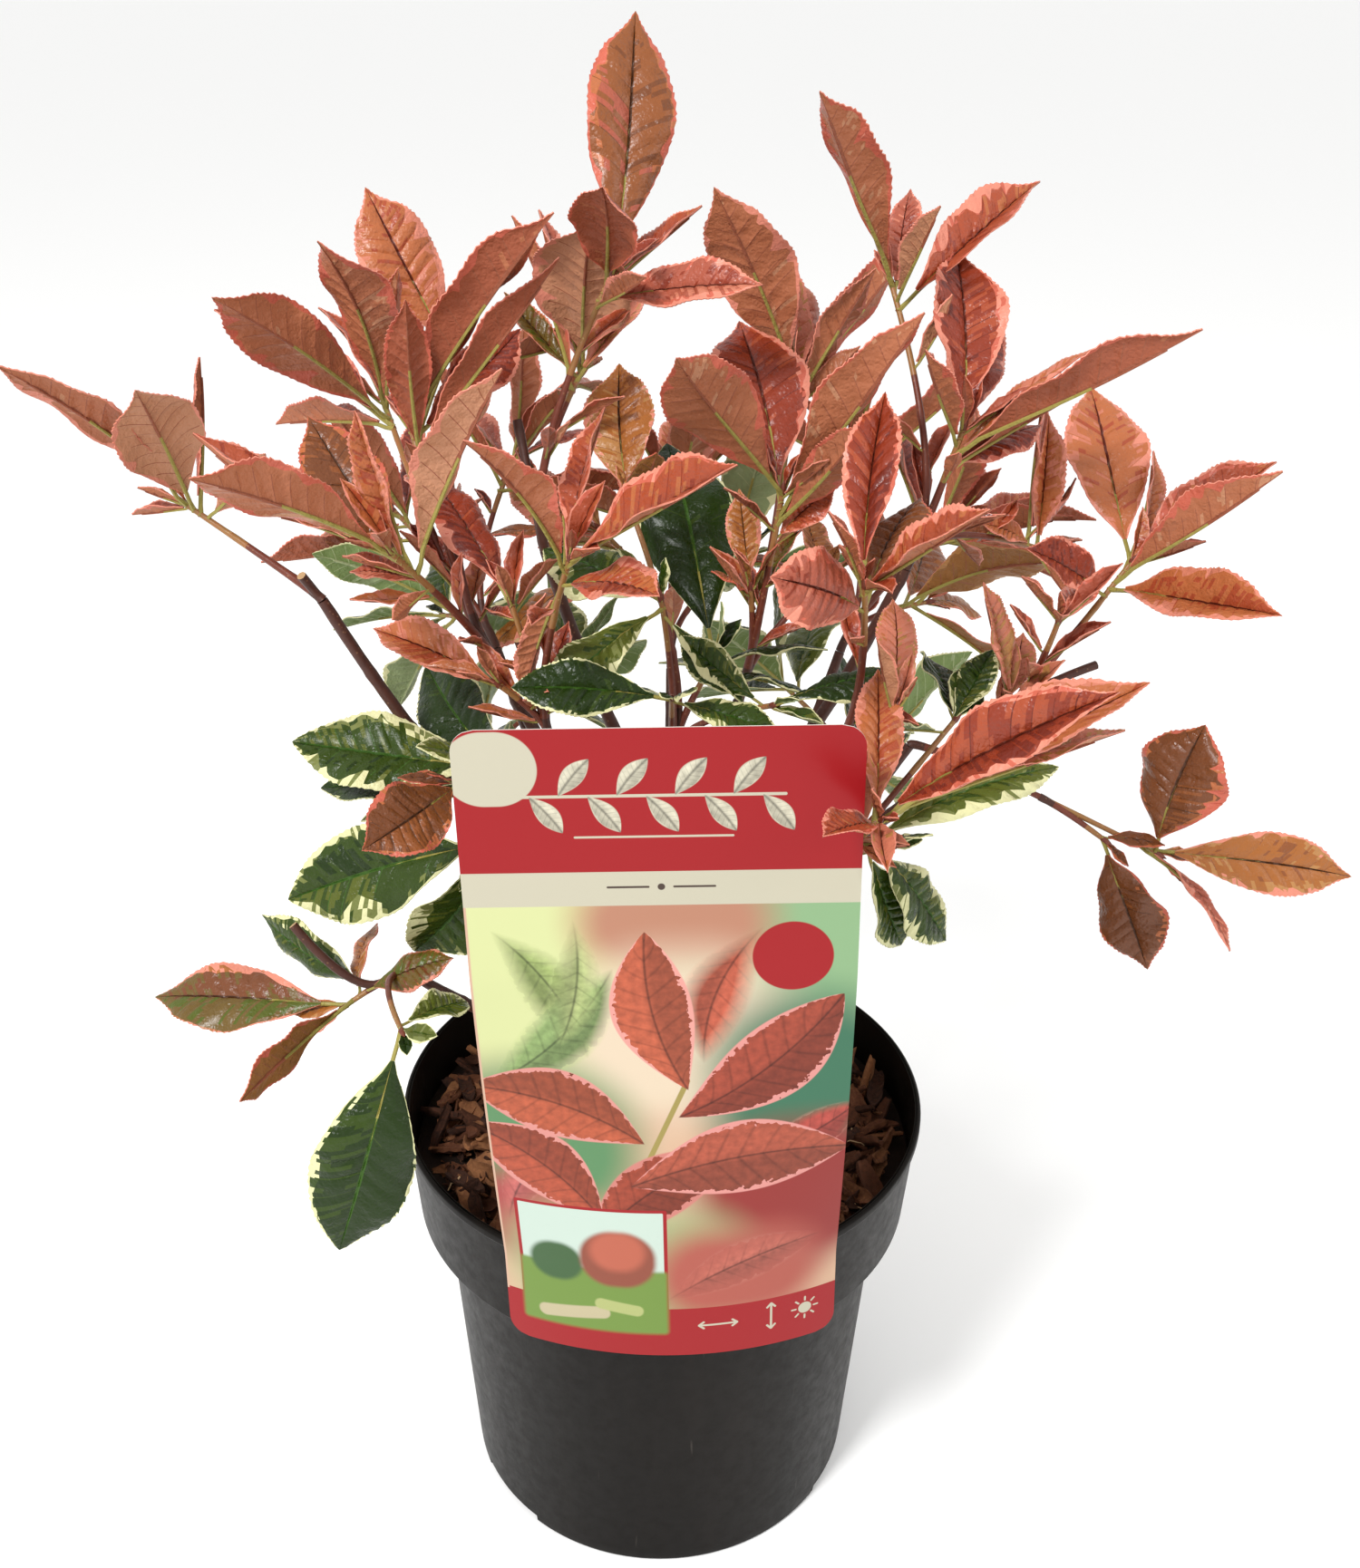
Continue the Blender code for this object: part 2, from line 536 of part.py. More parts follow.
def shoot_leaves(name, shoot, curve):
    """All leaves of a shoot as (root, direction, length, roll, width), the placed ones first."""
    axis = bow_direction(*curve, 1.0)
    chance = random.Random(name)
    leaves = []
    for order, plan in enumerate(shoot.leaves):
        leaf = Leaf(*plan)
        root = curve[2] - axis * LEAF_NODE_STEP * order
        leaves.append((root, compass(leaf.bearing, leaf.rise), leaf.length, leaf.roll, leaf.width))
    side = axis.orthogonal().normalized()
    over = axis.cross(side)
    start_angle = chance.uniform(0, math.tau)
    for order in range(shoot.fill):
        age = (order + 1) / (shoot.fill + 1)
        angle = start_angle + order * GOLDEN_ANGLE
        spread = math.radians(25 + 45 * age + chance.uniform(-6, 6))
        length = (46 + 34 * age) * chance.uniform(0.9, 1.1)
        way = axis * math.cos(spread) + (side * math.cos(angle) + over * math.sin(angle)) * math.sin(spread)
        down = LEAF_NODE_STEP * (order + 0.5 + 2 * len(shoot.leaves) * 0.4)
        leaves.append((curve[2] - axis * down, way.normalized(), length, 0, 1.0))
    return leaves, axis


def leaf_mesh(root, way, length, roll, width, axis):
    """A folded, arched blade. With no roll its upper face looks to the shoot and the sky."""
    skyward = axis + Vector((0, 0, 1))
    level = (skyward - way * skyward.dot(way)).normalized()
    up = Matrix.Rotation(math.radians(roll), 3, way) @ level
    side = way.cross(up)
    half = width / 2
    fold = half * LEAF_FOLD
    solid = bmesh.new()
    sunk = root - way * LEAF_SINK
    base = (solid.verts.new(sunk + up * LEAF_THICK / 2), solid.verts.new(sunk - up * LEAF_THICK / 2))
    rows = []
    for share, fullness in LEAF_STATIONS:
        rise = length * LEAF_ARCH * math.sin(math.pi * share)
        centre = root + way * length * share + up * rise
        left = solid.verts.new(centre + side * half * fullness + up * fold * 0.5)
        right = solid.verts.new(centre - side * half * fullness + up * fold * 0.5)
        top = solid.verts.new(centre + up * (LEAF_THICK - fold) * 0.5)
        under = solid.verts.new(centre - up * (LEAF_THICK + fold) * 0.5)
        rows.append((left, right, top, under))
    tip = solid.verts.new(root + way * length)
    first, last = rows
    for edge in (0, 1):
        solid.faces.new((base[0], base[1], first[edge]))
    for face in (2, 3):
        solid.faces.new((base[face - 2], first[0], first[face]))
        solid.faces.new((base[face - 2], first[1], first[face]))
        solid.faces.new((first[0], last[0], last[face], first[face]))
        solid.faces.new((first[1], last[1], last[face], first[face]))
        solid.faces.new((last[0], tip, last[face]))
        solid.faces.new((last[1], tip, last[face]))
    bmesh.ops.triangulate(solid, faces=solid.faces)
    bmesh.ops.recalc_face_normals(solid, faces=solid.faces)
    return solid


def blade_tree(solid, root):
    """Search tree of a leaf without the faces that meet its root."""
    spots = [vert.co.copy() for vert in solid.verts]
    faces = []
    for face in solid.faces:
        if min((vert.co - root).length for vert in face.verts) > 2.0:
            faces.append([vert.index for vert in face.verts])
    return BVHTree.FromPolygons(spots, faces)


def whole_tree(solid):
    return BVHTree.FromBMesh(solid)


def object_tree(item):
    solid = bmesh.new()
    solid.from_mesh(item.data)
    bmesh.ops.scale(solid, vec=(1 / MM, 1 / MM, 1 / MM), verts=solid.verts)
    tree = BVHTree.FromBMesh(solid)
    solid.free()
    return tree


def face_shells(solid):
    """Groups of faces joined across edges, the smallest first."""
    left = set(solid.faces)
    shells = []
    while left:
        stack = [left.pop()]
        shell = list(stack)
        while stack:
            for edge in stack.pop().edges:
                for face in edge.link_faces:
                    if face in left:
                        left.discard(face)
                        shell.append(face)
                        stack.append(face)
        shells.append(shell)
    return sorted(shells, key=len)


def keep_one_shell(target):
    """Drops the sliver edges, loose scraps and sealed hollows that a Boolean can leave, but no whole leaf."""
    for smallest in SLIVERS:
        solid = bmesh.new()
        solid.from_mesh(target.data)
        bmesh.ops.dissolve_degenerate(solid, dist=smallest * MM, edges=solid.edges)
        scraps = face_shells(solid)[:-1]
        sound = all(len(shell) < SCRAP_FACES for shell in scraps)
        for shell in scraps:
            bmesh.ops.delete(solid, geom=shell, context="FACES")
        sound = sound and all(len(edge.link_faces) == 2 for edge in solid.edges)
        if sound:
            solid.to_mesh(target.data)
        solid.free()
        if sound:
            return


def make_mass(mass, finish, fixed, grown):
    """Twigs and leaves of one bough, joined by one union on a collection."""
    group = bpy.data.collections.new(mass.name)
    leader = shoot_curve(mass, mass.shoots[0], None)
    body = None
    own_twigs = []
    curves = []
    for index, shoot in enumerate(mass.shoots):
        curve = shoot_curve(mass, shoot, leader)
        curves.append(curve)
        tip_radius = STUB_TIP_RADIUS if shoot.kind == "cut" else TWIG_TIP_RADIUS
        base_radius = BOUGH_TIP_RADIUS if index == 0 else BOUGH_TIP_RADIUS * 0.8
        sides = LIMB_SIDES if index == 0 else TWIG_SIDES
        twig = limb_mesh(curve, (base_radius, tip_radius), sides, TWIG_RINGS)
        own_twigs.append(whole_tree(twig))
        item = add_object(f"foliage_{mass.name}" if index == 0 else "twig", twig, finish)
        if index == 0:
            body = item
        else:
            bpy.context.scene.collection.objects.unlink(item)
            group.objects.link(item)
    blades = []
    for index, shoot in enumerate(mass.shoots):
        if shoot.kind == "cut":
            continue
        leaves, axis = shoot_leaves(f"{mass.name}{index}", shoot, curves[index])
        for root, way, length, roll, share in leaves:
            width = length * WIDTH_RATIO[shoot.kind] * share
            for turn, lift in SEATS:
                blade = leaf_mesh(root, leaned(way, turn, lift), length, roll, width, axis)
                tree = blade_tree(blade, root)
                whole = whole_tree(blade)
                crossed = any(tree.overlap(other) for other in blades + own_twigs)
                if not crossed and not any(whole.overlap(other) for other in fixed + grown):
                    blades.append(tree)
                    item = add_object("leaf", blade, finish)
                    bpy.context.scene.collection.objects.unlink(item)
                    group.objects.link(item)
                    break
                blade.free()
            else:
                print("skipped a leaf of", mass.name, [round(v) for v in root])
    if len(group.objects):
        union = body.modifiers.new("union", "BOOLEAN")
        union.operation = "UNION"
        union.operand_type = "COLLECTION"
        union.collection = group
        union.solver = "MANIFOLD"
        apply_modifiers(body)
    for item in list(group.objects):
        bpy.data.objects.remove(item, do_unlink=True)
    bpy.data.collections.remove(group)
    keep_one_shell(body)
    return body


def build():
    clear_scene()
    plastic = material("black_pot_plastic", "2B2A29", 0.5)
    hook_plastic = material("white_hook_plastic", "D9D6D0", 0.45)
    card = material("printed_card", "B5463F", 0.35)
    bark = material("bark_mulch", "6A4028", 0.9)
    wood = material("red_brown_bark", "5A2E28", 0.6)
    foliage = {
        "young": material("coral_leaves", "B0553F", 0.4),
        "bronze": material("bronze_leaves", "8A5A3A", 0.4),
        "green": material("marbled_green_leaves", "4F6B3E", 0.4),
    }
    fixed_objects = [make_pot(plastic), make_root_ball(bark), make_label(card), make_hook(hook_plastic)]
    trunk = add_object("main_stem", trunk_mesh(), wood, smooth=True)
    fixed_objects.append(trunk)
    for mass in MASSES:
        radii = (BOUGH_BASE_RADIUS, BOUGH_TIP_RADIUS)
        solid = limb_mesh(bough_curve(mass), radii, LIMB_SIDES, LIMB_RINGS)
        bough = add_object(f"bough_{mass.name}", solid, wood, smooth=True)
        cut_with(bough, add_object("seat_cutter", trunk_mesh(GAP)))
        keep_one_shell(bough)
        fixed_objects.append(bough)
    fixed = [object_tree(item) for item in fixed_objects]
    grown = []
    for mass in MASSES:
        finish = foliage[mass.shoots[0].kind]
        grown.append(object_tree(make_mass(mass, finish, fixed, grown)))


build()
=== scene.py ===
"""Looks of a potted red tip photinia: pot, bark mulch, picture label, stems, twigs and marbled leaves.

Sizes are millimetres, scaled by MM where a mesh or a node takes them. +Z is up and the viewer stands at -Y.
"""
import json
import math
import random
from collections import namedtuple

import bmesh
import bpy
import numpy as np
from mathutils import Matrix, Vector, noise
from mathutils.bvhtree import BVHTree

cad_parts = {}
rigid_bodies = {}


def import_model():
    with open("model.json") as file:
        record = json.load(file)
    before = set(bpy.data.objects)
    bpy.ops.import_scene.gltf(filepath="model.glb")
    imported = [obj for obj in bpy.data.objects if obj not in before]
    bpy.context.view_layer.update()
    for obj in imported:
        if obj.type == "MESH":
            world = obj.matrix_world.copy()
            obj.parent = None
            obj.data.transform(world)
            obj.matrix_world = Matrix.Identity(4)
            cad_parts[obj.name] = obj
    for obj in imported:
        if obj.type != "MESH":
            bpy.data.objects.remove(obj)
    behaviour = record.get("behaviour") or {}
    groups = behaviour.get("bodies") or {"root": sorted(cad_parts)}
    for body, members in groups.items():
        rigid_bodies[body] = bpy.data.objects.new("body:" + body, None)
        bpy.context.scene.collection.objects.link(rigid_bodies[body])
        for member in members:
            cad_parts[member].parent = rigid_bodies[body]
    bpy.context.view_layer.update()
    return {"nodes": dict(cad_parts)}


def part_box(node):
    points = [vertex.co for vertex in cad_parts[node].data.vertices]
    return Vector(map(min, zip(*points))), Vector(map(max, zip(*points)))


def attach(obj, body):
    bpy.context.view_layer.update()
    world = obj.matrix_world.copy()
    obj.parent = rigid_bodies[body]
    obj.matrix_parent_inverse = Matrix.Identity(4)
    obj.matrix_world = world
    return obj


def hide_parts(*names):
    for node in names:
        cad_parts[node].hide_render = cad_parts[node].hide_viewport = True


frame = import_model()
MM = 0.001


# The studio: a pale paper floor, a bright even room and two large soft lamps.
# The camera stands a little above the crown and looks down on the pot, as in the photograph.
CAMERA_PLACE = (0.0, -0.5791, 0.6431)
CAMERA_PITCH = math.radians(27.17)
CAMERA_YAW = math.radians(0.58)
CAMERA_ROLL = math.radians(0.73)
FOCAL_PIXELS = 1800.0
PHOTO_HEIGHT = 1730.0
SENSOR = 36.0
FLOOR_SIDE = 80.0
ROOM_STRENGTH = 0.95
LAMPS = (
    ("key_lamp", (-0.9, -1.3, 1.9), 0.5, 44.0),
    ("fill_lamp", (1.4, -0.7, 1.3), 0.9, 6.0),
)


def linear(code):
    """Linear colour of an sRGB hex code."""
    channels = [int(code[start:start + 2], 16) / 255 for start in (0, 2, 4)]
    return (*(c / 12.92 if c <= 0.04045 else ((c + 0.055) / 1.055) ** 2.4 for c in channels), 1.0)


def add_node(tree, kind, inputs=None, **settings):
    """Adds a node with its settings. An input that is a socket is linked, and any other is set."""
    node = tree.nodes.new(kind)
    for name, value in settings.items():
        setattr(node, name, value)
    for key, value in (inputs or {}).items():
        if isinstance(value, bpy.types.NodeSocket):
            tree.links.new(value, node.inputs[key])
        else:
            node.inputs[key].default_value = value
    return node


def new_finish(name, plain):
    """A Principled material whose plain values are set on the shader's own sockets."""
    made = bpy.data.materials.new(name)
    made.use_nodes = True
    shader = made.node_tree.nodes["Principled BSDF"]
    for socket, value in plain.items():
        shader.inputs[socket].default_value = value
    return made, made.node_tree, shader


def add_piece(name, points, faces, finishes, marks=None, sharp=None):
    """Object in metres from points in millimetres, with a finish number for each face in marks."""
    mesh = bpy.data.meshes.new(name)
    mesh.from_pydata((np.asarray(points, float) * MM).tolist(), [], faces)
    for finish in finishes:
        mesh.materials.append(finish)
    if marks is not None:
        mesh.polygons.foreach_set("material_index", np.asarray(marks, np.int32))
    mesh.shade_smooth()
    if sharp:
        mesh.set_sharp_from_angle(angle=math.radians(sharp))
    made = bpy.data.objects.new(name, mesh)
    bpy.context.scene.collection.objects.link(made)
    return made


lens = bpy.data.cameras.new("camera")
lens.sensor_width = SENSOR
lens.lens = FOCAL_PIXELS / PHOTO_HEIGHT * SENSOR
lens.clip_start = 0.01
camera = bpy.data.objects.new("camera", lens)
turn = Matrix.Rotation(-CAMERA_YAW, 4, "Z") @ Matrix.Rotation(math.pi / 2 - CAMERA_PITCH, 4, "X")
camera.matrix_world = Matrix.Translation(CAMERA_PLACE) @ turn @ Matrix.Rotation(CAMERA_ROLL, 4, "Z")
bpy.context.scene.collection.objects.link(camera)
bpy.context.scene.camera = camera
for name, place, side, power in LAMPS:
    lamp = bpy.data.objects.new(name, bpy.data.lights.new(name, "AREA"))
    lamp.data.shape = "DISK"
    lamp.data.size = side
    lamp.data.energy = power
    lamp.location = place
    lamp.rotation_euler = (Vector((0, 0, 0.3)) - lamp.location).to_track_quat("-Z", "Y").to_euler()
    bpy.context.scene.collection.objects.link(lamp)
room = bpy.data.worlds.new("bright_room")
room.use_nodes = True
room.node_tree.nodes["Background"].inputs["Color"].default_value = linear("FFFFFF")
room.node_tree.nodes["Background"].inputs["Strength"].default_value = ROOM_STRENGTH
bpy.context.scene.world = room
bpy.context.scene.view_settings.view_transform = "Standard"
paper, paper_tree, paper_shader = new_finish("pale_paper", {"Base Color": linear("FCFCFB"), "Roughness": 0.9})
half_floor = FLOOR_SIDE / MM / 2
corners = [(-half_floor, -half_floor, 0), (half_floor, -half_floor, 0), (half_floor, half_floor, 0),
           (-half_floor, half_floor, 0)]
floor = add_piece("floor", corners, [(0, 1, 2, 3)], [paper])


# Nursery pot, injection-moulded in black recycled polypropylene: a thin tapering wall, a stacking
# collar with a rolled double lip, drain holes in the floor and a notched base edge.
POT_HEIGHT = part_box("pot")[1].z / MM
RIM_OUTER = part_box("pot")[1].x / MM
BASE_RADIUS = 88.0
BODY_RADIUS = 97.5
COLLAR_BOTTOM = 147.0
COLLAR_RADIUS = 108.5
RIM_RADIUS = RIM_OUTER - 1.0
POT_WALL = 1.6
POT_SEGMENTS = 144
DRAIN_COUNT = 8
DRAIN_RADIUS = 6.0
DRAIN_RING = 62.0
NOTCH_COUNT = 3
NOTCH_TURN = math.radians(-142.5)
NOTCH_WIDTH = 40.0
NOTCH_HEIGHT = 4.5


def arc(centre, radius, first, last, steps):
    """Points of a round stretch of a profile, from one angle to another in degrees."""
    angles = [math.radians(first + (last - first) * step / steps) for step in range(steps + 1)]
    return [(centre[0] + radius * math.cos(a), centre[1] + radius * math.sin(a)) for a in angles]


def turned(profile, segments):
    """Closed solid turned about the pot's axis from a closed list of (radius, height) points."""
    solid = bmesh.new()
    points = [solid.verts.new((radius, 0.0, height)) for radius, height in profile]
    edges = [solid.edges.new((points[i - 1], points[i])) for i in range(1, len(points))]
    if profile[0][0] > 0:
        edges.append(solid.edges.new((points[-1], points[0])))
    bmesh.ops.spin(solid, geom=points + edges, cent=(0, 0, 0), axis=(0, 0, 1),
                   angle=math.tau, steps=segments, use_duplicate=False)
    bmesh.ops.remove_doubles(solid, verts=solid.verts, dist=0.005)
    return solid


def solid_piece(name, solid, finish, sharp=35):
    """Object in metres from a bmesh in millimetres, with its faces turned outwards."""
    bmesh.ops.scale(solid, vec=(MM, MM, MM), verts=solid.verts)
    bmesh.ops.recalc_face_normals(solid, faces=solid.faces)
    mesh = bpy.data.meshes.new(name)
    solid.to_mesh(mesh)
    solid.free()
    mesh.materials.append(finish)
    mesh.shade_smooth()
    mesh.set_sharp_from_angle(angle=math.radians(sharp))
    made = bpy.data.objects.new(name, mesh)
    bpy.context.scene.collection.objects.link(made)
    return made


def apply_modifiers(target):
    depsgraph = bpy.context.evaluated_depsgraph_get()
    mesh = bpy.data.meshes.new_from_object(target.evaluated_get(depsgraph))
    target.modifiers.clear()
    target.data = mesh
    mesh.name = target.name


def body_radius(height):
    return BASE_RADIUS + (BODY_RADIUS - BASE_RADIUS) * height / COLLAR_BOTTOM


def collar_radius(height):
    return COLLAR_RADIUS + (RIM_RADIUS - COLLAR_RADIUS) * (height - COLLAR_BOTTOM) / (POT_HEIGHT - COLLAR_BOTTOM)


# Glossy-matt moulded polypropylene: fine draw marks run down it, dust greys it and a few scuffs catch the light.
DRAW_MARK = 1.5
DUST_CLOUD = 35.0
SCUFF = 6.0
SCRATCH = 3.0
black_plastic, tree, shader = new_finish("black_pot_plastic", {"Specular IOR Level": 0.08})
place = add_node(tree, "ShaderNodeTexCoord").outputs["Object"]
down = add_node(tree, "ShaderNodeMapping", {"Vector": place, "Scale": (1.0, 1.0, 0.12)}).outputs["Vector"]
dust = add_node(tree, "ShaderNodeTexNoise", {"Vector": down, "Scale": 1 / (DUST_CLOUD * MM), "Detail": 6.0,
                                             "Roughness": 0.62}).outputs["Fac"]
dusty = add_node(tree, "ShaderNodeMapRange", {"Value": dust, "From Min": 0.42, "From Max": 0.78,
                                              "To Min": 0.0, "To Max": 0.55}).outputs["Result"]
tone = add_node(tree, "ShaderNodeMix", {0: dusty, 6: linear("0D0906"), 7: linear("1B1511")}, data_type="RGBA")
slant = add_node(tree, "ShaderNodeMapping", {"Vector": place, "Rotation": (0.5, 0.9, 0.3), "Scale": (1.0, 1.0, 0.05)})
streaks = add_node(tree, "ShaderNodeTexNoise", {"Vector": slant.outputs["Vector"], "Scale": 1 / (SCRATCH * MM), "Detail": 2.0})
scratched = add_node(tree, "ShaderNodeMapRange", {"Value": streaks.outputs["Fac"], "From Min": 0.74, "From Max": 0.8,
                                                  "To Min": 0.0, "To Max": 0.3}).outputs["Result"]
worn = add_node(tree, "ShaderNodeMix", {0: scratched, 6: tone.outputs[2], 7: linear("565049")}, data_type="RGBA")
tree.links.new(worn.outputs[2], shader.inputs["Base Color"])
scuffs = add_node(tree, "ShaderNodeTexNoise", {"Vector": place, "Scale": 1 / (SCUFF * MM), "Detail": 8.0,
                                               "Roughness": 0.7}).outputs["Fac"]
gloss = add_node(tree, "ShaderNodeMapRange", {"Value": scuffs, "From Min": 0.3, "From Max": 0.7,
                                              "To Min": 0.34, "To Max": 0.5}).outputs["Result"]
tree.links.new(gloss, shader.inputs["Roughness"])
marks = add_node(tree, "ShaderNodeTexNoise", {"Vector": down, "Scale": 1 / (DRAW_MARK * MM), "Detail": 3.0})
relief = add_node(tree, "ShaderNodeBump", {"Height": marks.outputs["Fac"], "Strength": 0.05, "Distance": 0.0004})
tree.links.new(relief.outputs["Normal"], shader.inputs["Normal"])

ledge = COLLAR_BOTTOM + POT_WALL
lip_low = POT_HEIGHT - 5.0
pot_profile = [(0.0, 0.0), (BASE_RADIUS - 2.0, 0.0)]
pot_profile += arc((BASE_RADIUS - 2.0, 2.0), 2.0, -60, 0, 3)
pot_profile += [(body_radius(NOTCH_HEIGHT + 2.0), NOTCH_HEIGHT + 2.0)]
pot_profile += [(body_radius(COLLAR_BOTTOM - 1.5), COLLAR_BOTTOM - 1.5)]
pot_profile += arc((body_radius(COLLAR_BOTTOM) + 1.4, COLLAR_BOTTOM - 1.4), 1.4, 160, 90, 3)
pot_profile += arc((COLLAR_RADIUS - 1.5, COLLAR_BOTTOM + 1.5), 1.5, -90, 0, 4)
pot_profile += [(collar_radius(lip_low - 0.6), lip_low - 0.6), (collar_radius(lip_low) + 0.15, lip_low)]
pot_profile += arc((RIM_OUTER - 1.3, POT_HEIGHT - 3.4), 1.3, -60, 0, 4)
pot_profile += arc((RIM_OUTER - 1.3, POT_HEIGHT - 1.3), 1.3, 0, 90, 5)
groove = RIM_OUTER - 1.55
pot_profile += [(groove, POT_HEIGHT - 0.1), (groove - 0.1, POT_HEIGHT - 0.7), (groove - 0.45, POT_HEIGHT - 0.7)]
pot_profile += arc((RIM_RADIUS - POT_WALL + 0.3, POT_HEIGHT - 0.3), 0.3, 90, 180, 3)
pot_profile += [(collar_radius(ledge + 1.5) - POT_WALL, ledge + 1.5), (collar_radius(ledge) - POT_WALL - 1.5, ledge),
                (body_radius(COLLAR_BOTTOM) - POT_WALL, ledge), (BASE_RADIUS - POT_WALL, POT_WALL), (0.0, POT_WALL)]
pot = solid_piece("moulded_pot", turned(pot_profile, POT_SEGMENTS), black_plastic)
cuts = bmesh.new()
for index in range(DRAIN_COUNT):
    spoke = Matrix.Rotation(math.tau * (index + 0.5) / DRAIN_COUNT, 4, "Z")
    hole = spoke @ Matrix.Translation((DRAIN_RING, 0, POT_WALL / 2))
    bmesh.ops.create_cone(cuts, cap_ends=True, segments=20, radius1=DRAIN_RADIUS, radius2=DRAIN_RADIUS,
                          depth=POT_WALL * 3, matrix=hole)
for index in range(NOTCH_COUNT):
    notch = Matrix.Rotation(NOTCH_TURN + math.tau * index / NOTCH_COUNT, 4, "Z") @ Matrix.Translation((BASE_RADIUS, 0, 0))
    notch = notch @ Matrix.Diagonal((POT_WALL * 6, NOTCH_WIDTH, NOTCH_HEIGHT * 2, 1.0))
    bmesh.ops.create_cube(cuts, size=1.0, matrix=notch)
cutter = solid_piece("base_cuts", cuts, black_plastic)
cut = pot.modifiers.new("base_cuts", "BOOLEAN")
cut.object = cutter
apply_modifiers(pot)
bpy.data.objects.remove(cutter, do_unlink=True)
pot.data.set_sharp_from_angle(angle=math.radians(35))
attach(pot, "root")
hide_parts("pot")


# Root ball with its mulch: dark potting soil filling the pot, topped with shredded pine bark.
# The bark lies loose as curled, fibrous chips of 8 to 25 mm, with a few pale rootlets among them.
SOIL_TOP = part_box("root_ball")[1].z / MM
GAP = 0.3
MOUND = 2.5
CHIP_LENGTH = 19.0
CHIP_WIDTH = 8.0
CHIP_THICK = 1.7
CHIP_SPACING = 4.6
CRUMB_SPACING = 3.4
MULCH_SEED = 11


def bark_finish(name, dark, warm, pale, fibre):
    """Weathered pine bark: flaky fibres run along it, its breaks are warm brown and its skin grey-brown."""
    made, tree, shader = new_finish(name, {"Roughness": 0.88, "Specular IOR Level": 0.25})
    place = add_node(tree, "ShaderNodeTexCoord").outputs["Object"]
    shade = add_node(tree, "ShaderNodeAttribute", attribute_name="shade").outputs["Fac"]
    flakes = add_node(tree, "ShaderNodeTexNoise", {"Vector": place, "Scale": 1 / (fibre * MM), "Detail": 8.0,
                                                   "Roughness": 0.7, "Distortion": 0.6}).outputs["Fac"]
    mixed = add_node(tree, "ShaderNodeMath", {0: flakes, 1: shade}, operation="ADD").outputs[0]
    spread = add_node(tree, "ShaderNodeMapRange", {"Value": mixed, "From Min": 0.45, "From Max": 1.55})
    ramp = add_node(tree, "ShaderNodeValToRGB", {"Fac": spread.outputs["Result"]})
    stops = ramp.color_ramp.elements
    stops[0].color = linear(dark)
    stops[1].color = linear(pale)
    stops.new(0.55).color = linear(warm)
    tree.links.new(ramp.outputs["Color"], shader.inputs["Base Color"])
    relief = add_node(tree, "ShaderNodeBump", {"Height": flakes, "Strength": 0.8, "Distance": 0.0012})
    tree.links.new(relief.outputs["Normal"], shader.inputs["Normal"])
    return made


soil_finish = bark_finish("potting_soil", "130C08", "281911", "39261B", 3.0)
bark_chip_finish = bark_finish("shredded_pine_bark", "26150E", "5C3521", "936340", 2.4)


def sheet_grid(rows, columns):
    """Faces of a closed thin sheet: an upper and a lower grid of points, and the rim between them."""
    lower = rows * columns
    faces = []
    for row in range(rows - 1):
        for column in range(columns - 1):
            a = row * columns + column
            faces.append((a, a + 1, a + columns + 1, a + columns))
    for face in list(faces):
        faces.append(tuple(corner + lower for corner in reversed(face)))
    for row in range(rows - 1):
        a = row * columns
        faces.append((a, a + columns, a + columns + lower, a + lower))
        b = a + columns - 1
        faces.append((b + columns, b, b + lower, b + columns + lower))
    for column in range(columns - 1):
        faces.append((column + 1, column, column + lower, column + 1 + lower))
        a = (rows - 1) * columns + column
        faces.append((a, a + 1, a + 1 + lower, a + lower))
    return faces


def chip_shape(name, seed):
    """A curled flake of bark: bent across, twisted along and ragged at its ends."""
    chance = random.Random(seed)
    rows, columns = 7, 5
    curl = chance.uniform(0.5, 1.9)
    twist = chance.uniform(-0.7, 0.7)
    upper = []
    for row in range(rows):
        along = row / (rows - 1) - 0.5
        half = CHIP_WIDTH / 2 * (1 - abs(along) ** 2 * 2.2) * chance.uniform(0.72, 1.1)
        for column in range(columns):
            across = column / (columns - 1) * 2 - 1
            bend = across * curl
            x = half * math.sin(bend) / curl
            z = half * (1 - math.cos(bend)) / curl + chance.uniform(-0.35, 0.35)
            spin = twist * along
            ragged = chance.uniform(-0.9, 0.9) if row in (0, rows - 1) else 0.0
            upper.append((x * math.cos(spin) - z * math.sin(spin), along * CHIP_LENGTH + ragged,
                          x * math.sin(spin) + z * math.cos(spin) + 2.2 * along * along * curl))
    lower = [(x, y, z - CHIP_THICK * chance.uniform(0.6, 1.15)) for x, y, z in upper]
    return add_piece(name, upper + lower, sheet_grid(rows, columns), [bark_chip_finish], sharp=40)


